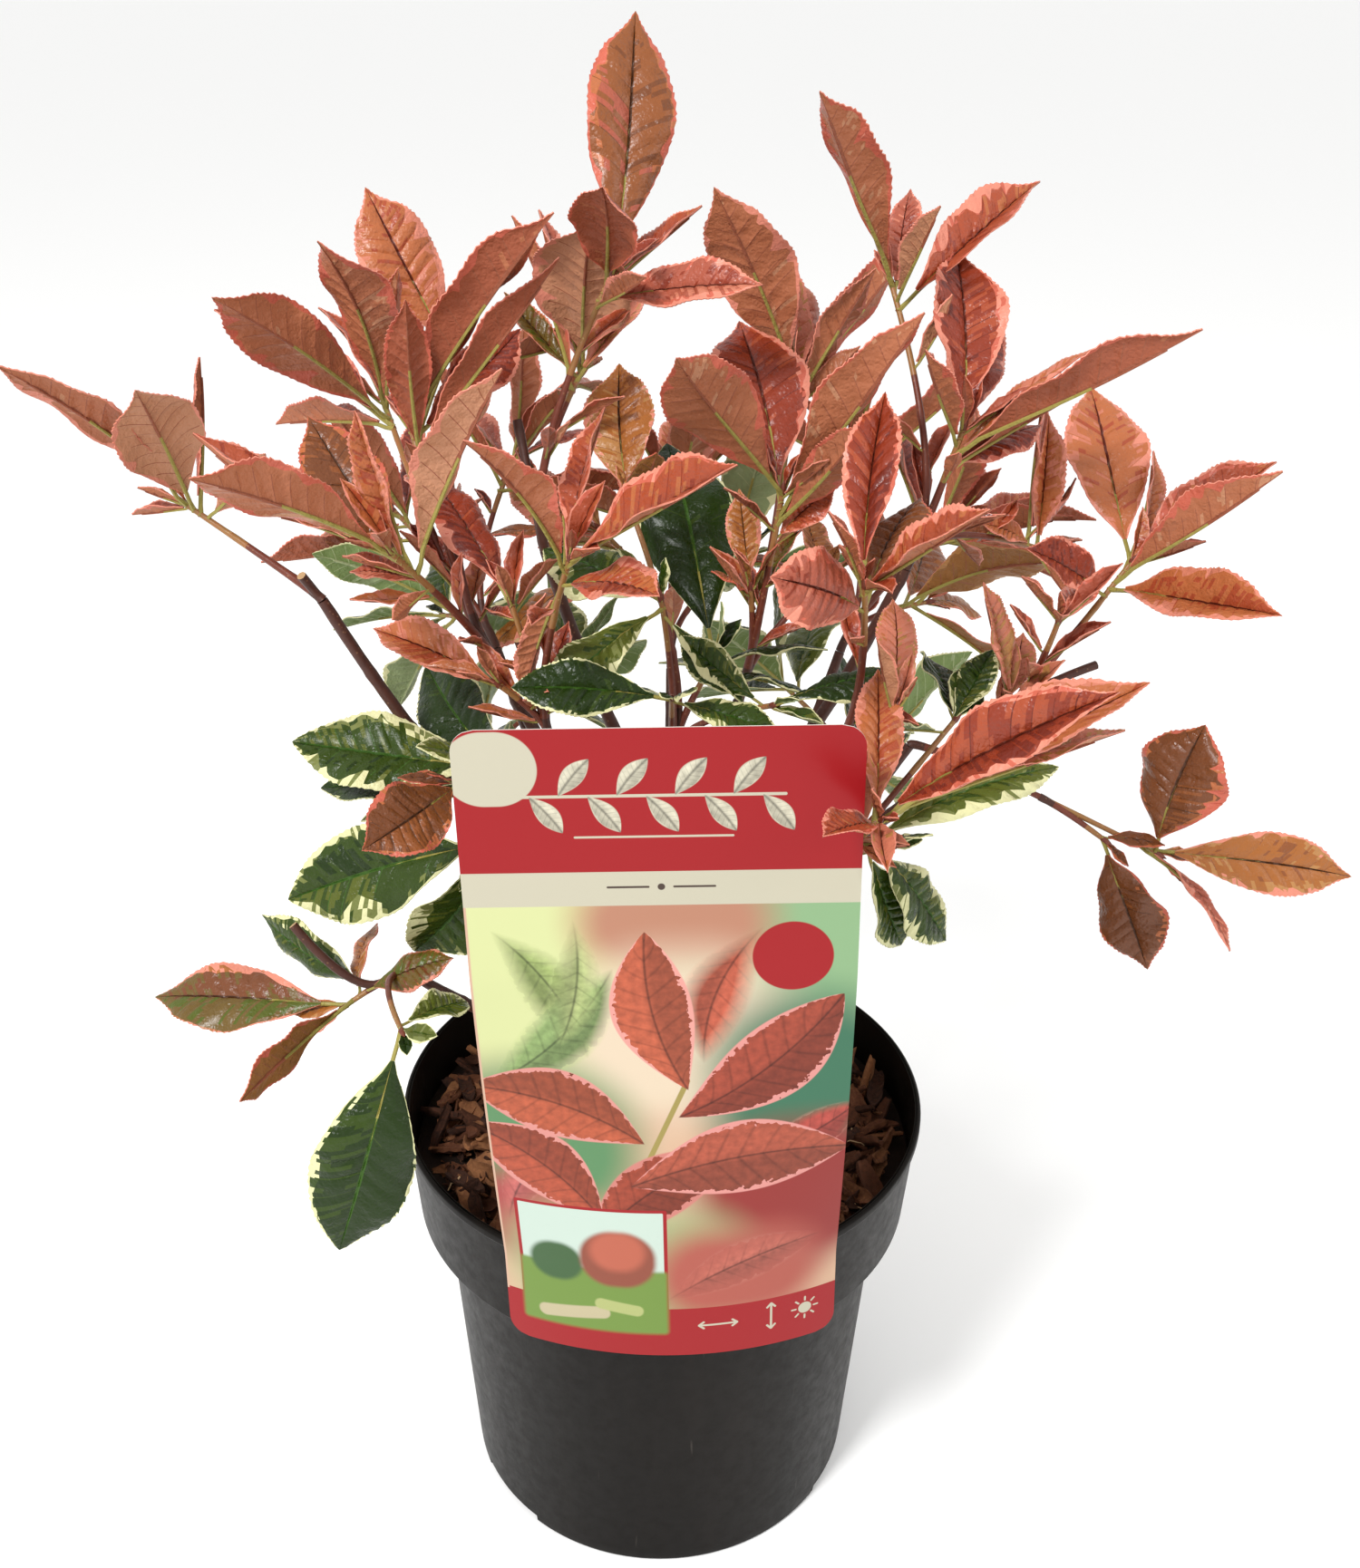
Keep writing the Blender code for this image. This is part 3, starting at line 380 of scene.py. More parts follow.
def scatter_tree():
    """Geometry Nodes that strew chips over a surface, each turned, tilted, sized and shaded by chance."""
    tree = bpy.data.node_groups.new("strewn_bark", "GeometryNodeTree")
    face = tree.interface
    face.new_socket("Surface", in_out="INPUT", socket_type="NodeSocketGeometry")
    face.new_socket("Chips", in_out="INPUT", socket_type="NodeSocketCollection")
    for label in ("Spacing", "Smallest", "Largest", "Tilt", "Depth"):
        face.new_socket(label, in_out="INPUT", socket_type="NodeSocketFloat")
    face.new_socket("Seed", in_out="INPUT", socket_type="NodeSocketInt")
    face.new_socket("Finish", in_out="INPUT", socket_type="NodeSocketMaterial")
    face.new_socket("Bark", in_out="OUTPUT", socket_type="NodeSocketGeometry")
    given = add_node(tree, "NodeGroupInput").outputs
    spots = add_node(tree, "GeometryNodeDistributePointsOnFaces",
                     {"Mesh": given["Surface"], "Distance Min": given["Spacing"], "Density Max": 90000.0,
                      "Seed": given["Seed"]}, distribute_method="POISSON")
    lift = add_node(tree, "FunctionNodeRandomValue", {2: 0.0, 3: given["Depth"], "Seed": given["Seed"]})
    raised = add_node(tree, "ShaderNodeCombineXYZ", {"Z": lift.outputs[1]})
    lifted = add_node(tree, "GeometryNodeSetPosition",
                      {"Geometry": spots.outputs["Points"], "Offset": raised.outputs[0]})
    lean = add_node(tree, "ShaderNodeMath", {0: given["Tilt"], 1: -1.0}, operation="MULTIPLY").outputs[0]
    low = add_node(tree, "ShaderNodeCombineXYZ", {"X": lean, "Y": lean, "Z": 0.0})
    high = add_node(tree, "ShaderNodeCombineXYZ", {"X": given["Tilt"], "Y": given["Tilt"], "Z": math.tau})
    turns = add_node(tree, "FunctionNodeRandomValue",
                     {0: low.outputs[0], 1: high.outputs[0], "Seed": given["Seed"]}, data_type="FLOAT_VECTOR")
    sizes = add_node(tree, "FunctionNodeRandomValue",
                     {2: given["Smallest"], 3: given["Largest"], "Seed": given["Seed"]})
    chips = add_node(tree, "GeometryNodeCollectionInfo",
                     {"Collection": given["Chips"], "Separate Children": True, "Reset Children": True})
    strewn = add_node(tree, "GeometryNodeInstanceOnPoints",
                      {"Points": lifted.outputs[0], "Instance": chips.outputs[0], "Pick Instance": True,
                       "Rotation": turns.outputs[0], "Scale": sizes.outputs[1]})
    tint = add_node(tree, "FunctionNodeRandomValue", {2: 0.0, 3: 1.0, "Seed": 5})
    shaded = add_node(tree, "GeometryNodeStoreNamedAttribute",
                      {"Geometry": strewn.outputs[0], "Name": "shade", "Value": tint.outputs[1]},
                      data_type="FLOAT", domain="INSTANCE")
    whole = add_node(tree, "GeometryNodeRealizeInstances", {"Geometry": shaded.outputs[0]})
    finished = add_node(tree, "GeometryNodeSetMaterial",
                        {"Geometry": whole.outputs[0], "Material": given["Finish"]})
    add_node(tree, "NodeGroupOutput", {"Bark": finished.outputs[0]})
    return tree


def strew(name, surface, tree, values):
    """Runs the scatter on a surface and keeps its result as a plain mesh."""
    made = bpy.data.objects.new(name, surface.data.copy())
    bpy.context.scene.collection.objects.link(made)
    strewing = made.modifiers.new("strewn_bark", "NODES")
    strewing.node_group = tree
    sockets = {item.name: item.identifier for item in tree.interface.items_tree if item.in_out == "INPUT"}
    for label, value in values.items():
        strewing[sockets[label]] = value
    apply_modifiers(made)
    return made


soil_profile = [(0.0, POT_WALL + GAP), (BASE_RADIUS - POT_WALL - GAP - 0.5, POT_WALL + GAP),
                (body_radius(COLLAR_BOTTOM) - POT_WALL - 0.5, ledge + GAP)]
soil_profile += [(collar_radius(ledge) - POT_WALL - 1.8, ledge + GAP)]
soil_edge = collar_radius(SOIL_TOP) - POT_WALL - GAP
soil_profile += [(soil_edge, SOIL_TOP - 6.0)]
soil_profile += [(soil_edge * share, SOIL_TOP - 5.0) for share in (0.98, 0.9, 0.8, 0.68, 0.55, 0.42, 0.28, 0.14, 0.0)]
soil = turned(soil_profile, 96)
for vert in soil.verts:
    if vert.co.z > SOIL_TOP - 5.5:
        vert.co.z += MOUND * noise.noise(vert.co / 14.0) + 1.2 * noise.noise(vert.co / 4.0)
soil = solid_piece("potting_soil", soil, soil_finish, sharp=60)
shade = soil.data.attributes.new("shade", "FLOAT", "POINT")
shade.data.foreach_set("value", [0.35] * len(soil.data.vertices))
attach(soil, "root")
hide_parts("root_ball")

chip_group = bpy.data.collections.new("chip_shapes")
for number in range(6):
    chip = chip_shape(f"chip_{number}", MULCH_SEED + number)
    bpy.context.scene.collection.objects.unlink(chip)
    chip_group.objects.link(chip)
bed_points = [(0.0, 0.0, SOIL_TOP - 4.0)]
for ring, radius in enumerate((0.5, 1.0)):
    for side in range(48):
        angle = math.tau * side / 48
        spot = Vector((math.cos(angle), math.sin(angle), 0)) * (soil_edge - 9.0) * radius
        bed_points.append((spot.x, spot.y, SOIL_TOP - 4.0))
bed_faces = [(0, 1 + side, 1 + (side + 1) % 48) for side in range(48)]
bed_faces += [(1 + side, 49 + side, 49 + (side + 1) % 48, 1 + (side + 1) % 48) for side in range(48)]
bed = add_piece("mulch_bed", bed_points, bed_faces, [bark_chip_finish])
strewn_bark = scatter_tree()
chip_values = {"Chips": chip_group, "Spacing": CHIP_SPACING * MM, "Smallest": 0.55, "Largest": 1.25,
               "Tilt": math.radians(42), "Depth": 7.0 * MM, "Seed": MULCH_SEED, "Finish": bark_chip_finish}
crumb_values = dict(chip_values, Spacing=CRUMB_SPACING * MM, Smallest=0.22, Largest=0.5, Depth=4.0 * MM,
                    Tilt=math.radians(80), Seed=MULCH_SEED + 1)
for name, values in (("bark_chips", chip_values), ("bark_crumbs", crumb_values)):
    bark = strew(name, bed, strewn_bark, values)
    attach(bark, "root")
    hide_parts("root_ball")
bpy.data.objects.remove(bed, do_unlink=True)
for chip in list(chip_group.objects):
    bpy.data.objects.remove(chip, do_unlink=True)
bpy.data.collections.remove(chip_group)


# Rootlets and straws: thin dry fibres that lie over the bark.
FIBRE_RADIUS = 0.35


def ring_frames(path):
    """Two vectors across a path at each of its points, carried along without twisting."""
    steps = np.gradient(path, axis=0)
    along = steps / np.linalg.norm(steps, axis=1)[:, None]
    first = np.cross(along[0], (0.3, 0.9, 0.31))
    frames = []
    across = first / np.linalg.norm(first)
    for way in along:
        across = across - way * across.dot(way)
        across = across / np.linalg.norm(across)
        frames.append((across, np.cross(way, across)))
    return frames


def tube(path, radii, sides, relief=None):
    """Points and faces of a closed tube along a path. Relief gives each ring's radii as shares."""
    path = np.asarray(path, float)
    angles = np.arange(sides) * math.tau / sides
    points = []
    for ring, (across, over) in enumerate(ring_frames(path)):
        reach = radii[ring] * (relief[ring] if relief is not None else np.ones(sides))
        points.append(path[ring] + np.outer(np.cos(angles) * reach, across) + np.outer(np.sin(angles) * reach, over))
    faces = []
    for ring in range(len(path) - 1):
        for side in range(sides):
            after = (side + 1) % sides
            low, high = ring * sides, (ring + 1) * sides
            faces.append((low + side, low + after, high + after, high + side))
    faces.append(tuple(range(sides))[::-1])
    faces.append(tuple((len(path) - 1) * sides + side for side in range(sides)))
    return np.concatenate(points), faces


class Heap:
    """Points, faces and finish numbers of many small shapes that become one piece."""

    def __init__(self):
        self.points = []
        self.faces = []
        self.marks = []
        self.count = 0

    def add(self, points, faces, marks):
        start = self.count
        self.points.append(np.asarray(points, float))
        self.faces.extend([tuple(corner + start for corner in face) for face in faces])
        self.marks.extend([marks] * len(faces) if isinstance(marks, int) else list(marks))
        self.count += len(points)

    def piece(self, name, finishes, sharp=50):
        return add_piece(name, np.concatenate(self.points), self.faces, finishes, self.marks, sharp)


straw, tree, shader = new_finish("dry_rootlet", {"Base Color": linear("A38562"), "Roughness": 0.8})
chance = random.Random(MULCH_SEED)
heap = Heap()
for number in range(46):
    angle = chance.uniform(0, math.tau)
    spot = Vector((math.cos(angle), math.sin(angle), 0)) * chance.uniform(20, soil_edge - 16)
    heading = Matrix.Rotation(chance.uniform(0, math.tau), 3, "Z") @ Vector((1, 0, 0))
    bend = chance.uniform(-0.22, 0.22)
    path = []
    for step in range(9):
        heading = Matrix.Rotation(bend + chance.uniform(-0.15, 0.15), 3, "Z") @ heading
        spot = spot + heading * chance.uniform(1.2, 3.0)
        if spot.to_2d().length > soil_edge - 6:
            break
        path.append((spot.x, spot.y, SOIL_TOP + chance.uniform(1.0, 3.2)))
    if len(path) > 4:
        heap.add(*tube(path, [FIBRE_RADIUS * (1.2 - 0.1 * step) for step in range(len(path))], 5), 0)
rootlets = heap.piece("rootlets", [straw])
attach(rootlets, "root")
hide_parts("root_ball")


# Picture label: a die-cut polypropylene card with rounded corners, bent round the rim at its foot.
# The face is offset-printed under a clear varnish, its print is of generic blocks and leaves, and its back is bare.
LABEL_WIDTH = 132.0
LABEL_BOTTOM = 155.0
LABEL_TOP = 425.0
LABEL_THICK = 0.5
LABEL_CORNER = 8.0
LABEL_BEND = 150.0
LABEL_BEND_END = 330.0
LABEL_TURN = math.radians(1.5)
LABEL_CENTRE_X = 1.0
HOOK_WIDTH = 20.0
HOOK_THICK = 0.8
LABEL_ROWS = 96
LABEL_COLUMNS = 48
HEADER_BOTTOM = 218.0
STRIP_BOTTOM = 205.0
BAND_TOP = 24.0


def label_surface(across, height, depth):
    """Point of the card: flat at its top, bent round the rim below."""
    bend = min(1.0, max(0.0, (LABEL_BEND_END - height) / (LABEL_BEND_END - POT_HEIGHT)))
    half_hook = HOOK_WIDTH / 2 + 3.0
    hook_sag = LABEL_BEND - math.sqrt(LABEL_BEND ** 2 - half_hook ** 2)
    front = -(RIM_OUTER + 2 * GAP + HOOK_THICK + hook_sag) - depth
    middle = (LABEL_TOP + LABEL_BOTTOM) / 2
    side = across
    if bend > 0:
        radius = LABEL_BEND / bend
        side = radius * math.sin(across / radius)
        front += radius * (1 - math.cos(across / radius))
    flat = Matrix.Rotation(-LABEL_TURN, 3, "Y") @ Vector((side, 0.0, height - middle))
    return Vector((flat.x + LABEL_CENTRE_X, front, flat.z + middle))


def label_half_width(height):
    """Half width at a height, less where the corners are rounded."""
    reach = min(height - LABEL_BOTTOM, LABEL_TOP - height)
    if reach >= LABEL_CORNER:
        return LABEL_WIDTH / 2
    drop = LABEL_CORNER - reach
    return LABEL_WIDTH / 2 - LABEL_CORNER + math.sqrt(max(0.0, LABEL_CORNER ** 2 - drop ** 2))


def print_group(name, inputs):
    """A node group whose inputs are a place on the card, a ground colour and the named values."""
    group = bpy.data.node_groups.new(name, "ShaderNodeTree")
    for label, kind in (("Place", "Vector"), ("Ground", "Color"), *inputs):
        group.interface.new_socket(label, in_out="INPUT", socket_type="NodeSocket" + kind)
    group.interface.new_socket("Colour", in_out="OUTPUT", socket_type="NodeSocketColor")
    return group, add_node(group, "NodeGroupInput").outputs


def block_group():
    """Prints a rounded block: a disc where its corner is as large as its half size."""
    group, given = print_group("printed_block", (("Centre", "Vector"), ("Half Size", "Vector"), ("Corner", "Float"),
                                                 ("Turn", "Float"), ("Softness", "Float"), ("Ink", "Color")))
    moved = add_node(group, "ShaderNodeVectorMath", {0: given["Place"], 1: given["Centre"]}, operation="SUBTRACT")
    turned_place = add_node(group, "ShaderNodeVectorRotate", {"Vector": moved.outputs[0], "Angle": given["Turn"]})
    folded = add_node(group, "ShaderNodeVectorMath", {0: turned_place.outputs[0]}, operation="ABSOLUTE")
    beyond = add_node(group, "ShaderNodeVectorMath", {0: folded.outputs[0], 1: given["Half Size"]},
                      operation="SUBTRACT")
    padded_place = add_node(group, "ShaderNodeVectorMath", {0: beyond.outputs[0], 1: given["Corner"]}, operation="ADD")
    outer = add_node(group, "ShaderNodeVectorMath", {0: padded_place.outputs[0], 1: (0, 0, 0)}, operation="MAXIMUM")
    reach = add_node(group, "ShaderNodeVectorMath", {0: outer.outputs[0]}, operation="LENGTH")
    edge = add_node(group, "ShaderNodeMath", {0: reach.outputs["Value"], 1: given["Corner"]}, operation="SUBTRACT")
    cover = add_node(group, "ShaderNodeMapRange", {"Value": edge.outputs[0], "From Min": 0.0,
                                                   "From Max": given["Softness"], "To Min": 1.0, "To Max": 0.0},
                     interpolation_type="SMOOTHSTEP")
    inked = add_node(group, "ShaderNodeMix", {0: cover.outputs[0], 6: given["Ground"], 7: given["Ink"]},
                     data_type="RGBA")
    add_node(group, "NodeGroupOutput", {"Colour": inked.outputs[2]})
    return group


def leaf_group():
    """Prints a leaf from its base point: a bowed blade with a wavy pale margin, a midrib and side veins."""
    group, given = print_group("printed_leaf", (("Base", "Vector"), ("Turn", "Float"), ("Length", "Float"),
                                                ("Width", "Float"), ("Bow", "Float"), ("Softness", "Float"),
                                                ("Blade", "Color"), ("Margin", "Color")))

    def calc(operation, first, second=0.0, third=0.0):
        return add_node(group, "ShaderNodeMath", {0: first, 1: second, 2: third}, operation=operation).outputs[0]

    moved = add_node(group, "ShaderNodeVectorMath", {0: given["Place"], 1: given["Base"]}, operation="SUBTRACT")
    local = add_node(group, "ShaderNodeVectorRotate", {"Vector": moved.outputs[0], "Angle": given["Turn"]},
                     invert=True)
    axes = add_node(group, "ShaderNodeSeparateXYZ", {0: local.outputs[0]}).outputs
    along = add_node(group, "ShaderNodeClamp", {0: calc("DIVIDE", axes["X"], given["Length"]), 1: 0.0, 2: 1.0})
    along = along.outputs[0]
    hump = calc("MULTIPLY", calc("SUBTRACT", along, calc("MULTIPLY", along, along)), 4.0)
    across = calc("SUBTRACT", axes["Y"], calc("MULTIPLY", hump, given["Bow"]))
    side = calc("ABSOLUTE", across)
    swell = calc("POWER", calc("SINE", calc("MULTIPLY", calc("POWER", along, 1.12), math.pi)), 0.85)
    ripple = add_node(group, "ShaderNodeTexNoise", {"Vector": given["Place"], "Scale": 0.35, "Detail": 4.0})
    ripple = ripple.outputs["Fac"]
    half = calc("MULTIPLY", calc("MULTIPLY", given["Width"], 0.5), swell)
    edge = calc("SUBTRACT", side, half)
    cover = add_node(group, "ShaderNodeMapRange", {"Value": edge, "From Min": calc("MULTIPLY", given["Softness"], -1.0),
                                                   "From Max": 0.0, "To Min": 1.0, "To Max": 0.0}).outputs[0]
    inside = calc("MULTIPLY", cover, calc("GREATER_THAN", axes["X"], 0.0))
    share = calc("DIVIDE", side, calc("MAXIMUM", half, 0.1))
    slant = calc("SUBTRACT", calc("MULTIPLY", along, 9.0), calc("MULTIPLY", share, 1.1))
    vein = calc("ABSOLUTE", calc("SUBTRACT", calc("FRACT", slant), 0.5))
    veined = add_node(group, "ShaderNodeMapRange", {"Value": vein, "From Min": 0.0, "From Max": 0.12,
                                                    "To Min": 0.72, "To Max": 1.0}).outputs[0]
    ribbed = add_node(group, "ShaderNodeMapRange", {"Value": side, "From Min": 0.1, "From Max": 0.7,
                                                    "To Min": 0.45, "To Max": 1.0}).outputs[0]
    mottled = add_node(group, "ShaderNodeMapRange", {"Value": ripple, "From Min": 0.3, "From Max": 0.7,
                                                     "To Min": 0.78, "To Max": 1.2}).outputs[0]
    lit = add_node(group, "ShaderNodeMapRange", {"Value": across, "From Min": -2.0, "From Max": 2.0,
                                                 "To Min": 0.74, "To Max": 1.2}).outputs[0]
    strength = calc("MULTIPLY", calc("MULTIPLY", veined, ribbed), calc("MULTIPLY", mottled, lit))
    shaded = add_node(group, "ShaderNodeVectorMath", {0: given["Blade"], "Scale": strength}, operation="SCALE")
    border = calc("ADD", calc("SUBTRACT", share, 0.86), calc("MULTIPLY", calc("SUBTRACT", ripple, 0.5), 0.5))
    marginal = calc("GREATER_THAN", border, 0.0)
    edged = add_node(group, "ShaderNodeMix", {0: marginal, 6: shaded.outputs[0], 7: given["Margin"]},
                     data_type="RGBA")
    inked = add_node(group, "ShaderNodeMix", {0: inside, 6: given["Ground"], 7: edged.outputs[2]}, data_type="RGBA")
    add_node(group, "NodeGroupOutput", {"Colour": inked.outputs[2]})
    return group


# Varnished offset print on white card: satin, with the press's fine screen of dots too small to see.
# Blocks are (centre, half size, corner, turn, softness, ink) and leaves (base, turn, length, width, bow,
# softness, blade, margin), in millimetres from the middle of the card's lower edge.
CARD_RED = "8B1217"
CARD_CREAM = "ABA693"
SKY = (
    ((-40, 182), (50, 30), 30, 0, 40, "B6BB87"),
    ((44, 188), (28, 24), 24, 0, 36, "799870"),
    ((4, 198), (22, 9), 9, 0, 22, "9F705A"),
    ((6, 150), (26, 20), 20, 0, 30, "C2B19A"),
    ((-48, 102), (24, 24), 22, 0, 26, "517951"),
    ((50, 128), (20, 26), 20, 0, 28, "35634B"),
    ((48, 74), (26, 24), 20, 0, 24, "802A26"),
    ((-52, 64), (16, 14), 14, 0, 20, "94423E"),
    ((-16, 44), (34, 16), 16, 0, 26, "90966C"),
    ((26, 40), (22, 12), 12, 0, 20, "994E42"),
)
FAR_LEAVES = (
    ((-2, 28), 22, 66, 22, 5, 9.0, "985144", "B67D70"),
    ((34, 196), 250, 60, 26, -6, 8.0, "994935", "AE6553"),
    ((-62, 60), 60, 54, 18, 5, 7.0, "A35651", "BC8B82"),
    ((30, 96), 28, 46, 20, -3, 4.0, "903B32", "C47D70"),
    ((-58, 196), 300, 62, 24, 5, 7.0, "7C8A52", "A3AE74"),
    ((-64, 128), 48, 70, 26, -5, 6.0, "6E8250", "9AA86C"),
    ((-30, 200), 262, 54, 20, 4, 8.0, "8A9460", "A9B37C"),
)
BRANCH_LEAVES = (
    ((-30, 54), 40, 72, 29, 6, 0.8, "7D3423", "B16E65"),
    ((-24, 66), 140, 66, 30, -6, 0.5, "8D3F2A", "BC7D75"),
    ((-14, 84), 8, 82, 34, 7, 0.5, "8B4230", "C08079"),
    ((-8, 104), 160, 68, 31, -6, 0.5, "92462E", "BC7D75"),
    ((4, 116), 42, 78, 32, -6, 0.5, "803727", "C08079"),
    ((8, 128), 102, 68, 29, 5, 0.5, "964932", "C4877E"),
)
BRANCH = (
    ((-26, 62), (25, 0.9), 0.9, 66, 0.4, "7D6E3D"),
    ((-3, 106), (29, 0.8), 0.8, 68, 0.4, "8B7D44"),
)
BLOCKS = [
    ((0, 13), (70, 11), 0.5, 0, 0.2, CARD_RED),
    ((0, 2), (70, 6), 0.5, 0, 0.2, CARD_RED),
    ((-65.7, 115), (0.45, 92), 0.2, 0, 0.2, "B69580"),
    ((0, 212), (70, 7), 0.2, 0, 0.2, CARD_CREAM),
    ((0, 246), (70, 28), 0.2, 0, 0.2, CARD_RED),
    ((-54, 256), (15, 13), 13, 0.2, 0.5, CARD_CREAM),
    ((44, 184), (13.5, 13.5), 13.5, 0, 0.5, CARD_RED),
    ((-30, 42), (29, 31), 0.8, 0, 0.2, CARD_RED),
    ((-30, 42), (27.6, 29.6), 0.4, 0, 0.2, "ADBCB1"),
    ((-30, 27), (27.6, 14.6), 0.4, 0, 2.5, "637D37"),
    ((-38, 19), (14, 2.6), 2.4, 8, 1.0, "A79D7E"),
    ((-20, 24), (9, 2.2), 2.0, -10, 1.0, "999F65"),
    ((-44, 44), (9, 8), 8.0, 0, 3.0, "385432"),
    ((-20, 48), (13, 12), 11.0, 0, 3.0, "7D4232"),
    ((-20, 52), (8, 7), 7.0, 0, 5.0, "A35642"),
    ((18, 15), (7.5, 0.35), 0.3, 0, 0.2, CARD_CREAM),
    ((39, 15), (0.35, 6.5), 0.3, 0, 0.2, CARD_CREAM),
    ((53, 15), (2.6, 2.6), 2.6, 0, 0.3, CARD_CREAM),
    ((-2, 246), (43, 0.45), 0.4, 0, 0.2, CARD_CREAM),
    ((-2, 231), (26, 0.3), 0.3, 0, 0.2, CARD_CREAM),
    ((0, 212), (1.1, 1.1), 1.1, 0, 0.3, "42352E"),
    ((-11, 212), (7, 0.3), 0.3, 0, 0.2, "42352E"),
    ((11, 212), (7, 0.3), 0.3, 0, 0.2, "42352E"),
]
SPRIG_LEAVES = [((9.4 * spot - 42, 246), 52 if spot % 2 else -52, 17, 7.4, 0.6, 0.3, CARD_CREAM, CARD_CREAM)
                for spot in range(9)]
ARROW_TIPS = ((10.5, 15, 40), (10.5, 15, -40), (25.5, 15, 140), (25.5, 15, -140),
              (39, 21.5, -50), (39, 21.5, -130), (39, 8.5, 50), (39, 8.5, 130))
for x, y, way in ARROW_TIPS:
    reach = Vector((math.cos(math.radians(way)), math.sin(math.radians(way)))) * 1.3
    BLOCKS.append(((x + reach.x, y + reach.y), (1.5, 0.35), 0.3, way, 0.2, CARD_CREAM))
for ray in range(8):
    way = ray * 45.0
    reach = Vector((math.cos(math.radians(way)), math.sin(math.radians(way)))) * 4.6
    BLOCKS.append(((53 + reach.x, 15 + reach.y), (1.1, 0.3), 0.3, way, 0.2, CARD_CREAM))

printed_card, tree, shader = new_finish("varnished_print", {"Roughness": 0.36, "Specular IOR Level": 0.2, "Coat Weight": 0.04,
                                                            "Coat Roughness": 0.2})
on_card = add_node(tree, "ShaderNodeUVMap", uv_map="PrintMap").outputs[0]
spot = add_node(tree, "ShaderNodeVectorMath", {0: on_card, 1: (LABEL_WIDTH, LABEL_TOP - LABEL_BOTTOM, 0)},
                operation="MULTIPLY")
spot = add_node(tree, "ShaderNodeVectorMath", {0: spot.outputs[0], 1: (LABEL_WIDTH / 2, 0, 0)},
                operation="SUBTRACT").outputs[0]
block_print = block_group()
leaf_print = leaf_group()
clouds = add_node(tree, "ShaderNodeTexNoise", {"Vector": spot, "Scale": 0.018, "Detail": 2.0}).outputs["Fac"]
ground = add_node(tree, "ShaderNodeMix", {0: clouds, 6: linear("A76853"), 7: linear("C4B496")},
                  data_type="RGBA").outputs[2]


def print_block(ground, block):
    centre, half, corner, way, softness, ink = block
    values = {"Place": spot, "Ground": ground, "Centre": (*centre, 0), "Half Size": (*half, 1000), "Corner": corner,
              "Turn": -math.radians(way), "Softness": softness, "Ink": linear(ink)}
    return add_node(tree, "ShaderNodeGroup", values, node_tree=block_print).outputs[0]


def print_leaf(ground, leaf):
    base, way, length, width, bow, softness, blade, margin = leaf
    values = {"Place": spot, "Ground": ground, "Base": (*base, 0), "Turn": math.radians(way), "Length": length,
              "Width": width, "Bow": bow, "Softness": softness, "Blade": linear(blade), "Margin": linear(margin)}
    return add_node(tree, "ShaderNodeGroup", values, node_tree=leaf_print).outputs[0]


for block in SKY:
    ground = print_block(ground, block)
for leaf in FAR_LEAVES:
    ground = print_leaf(ground, leaf)
for twig in BRANCH:
    ground = print_block(ground, twig)
for leaf in BRANCH_LEAVES:
    ground = print_leaf(ground, leaf)
for block in BLOCKS:
    ground = print_block(ground, block)
for leaf in SPRIG_LEAVES:
    ground = print_leaf(ground, leaf)
tree.links.new(ground, shader.inputs["Base Color"])
card_core, tree, shader = new_finish("white_card_core", {"Base Color": linear("D0CCC4"), "Roughness": 0.5})

grid = []
for depth in (LABEL_THICK, 0.0):
    for row in range(LABEL_ROWS + 1):
        share = row / LABEL_ROWS
        height = LABEL_BOTTOM + (LABEL_TOP - LABEL_BOTTOM) * (share - math.sin(math.tau * share) * 0.11)
        half = label_half_width(height)
        for column in range(LABEL_COLUMNS + 1):
            across = half * (2 * column / LABEL_COLUMNS - 1)
            grid.append((across, height, depth))
label_points = [label_surface(*spot_on_card) for spot_on_card in grid]
label_faces = sheet_grid(LABEL_ROWS + 1, LABEL_COLUMNS + 1)
front_faces = LABEL_ROWS * LABEL_COLUMNS
label_marks = [0] * front_faces + [1] * (len(label_faces) - front_faces)
label = add_piece("picture_label", label_points, label_faces, [printed_card, card_core], label_marks, sharp=40)
print_map = label.data.uv_layers.new(name="PrintMap")
for loop in label.data.loops:
    across, height, depth = grid[loop.vertex_index]
    print_map.data[loop.index].uv = (across / LABEL_WIDTH + 0.5, (height - LABEL_BOTTOM) / (LABEL_TOP - LABEL_BOTTOM))
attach(label, "root")
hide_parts("label_card")


# Rim hook: a folded strip of white polypropylene on the card's back that grips the pot's lip.
white_plastic, tree, shader = new_finish("white_hook_plastic", {"Roughness": 0.42, "IOR": 1.49})
place = add_node(tree, "ShaderNodeTexCoord").outputs["Object"]
haze = add_node(tree, "ShaderNodeTexNoise", {"Vector": place, "Scale": 1 / (9 * MM), "Detail": 4.0}).outputs["Fac"]
tone = add_node(tree, "ShaderNodeMix", {0: haze, 6: linear("C9C6C1"), 7: linear("B8B4AD")}, data_type="RGBA")
tree.links.new(tone.outputs[2], shader.inputs["Base Color"])
hook = frame["nodes"]["label_hook"]
hook.data.materials.clear()
hook.data.materials.append(white_plastic)


# Stem and boughs: young photinia wood, dark red-brown, smooth between its rings of leaf scars,
# with raised pores and fine wrinkles. Each bough leaves the stem outwards and bows up to its tip.
TRUNK_FOOT = Vector((0.0, 10.0, SOIL_TOP + GAP))
TRUNK_TIP = Vector((8.0, 4.0, 330.0))
TRUNK_RADII = (8.0, 5.0)
TRUNK_FLARE = 1.35
BOUGH_RADII = (3.2, 2.1)
RING_STEP = 2.2
BARK_SIDES = 14
SCAR_STEP = 24.0

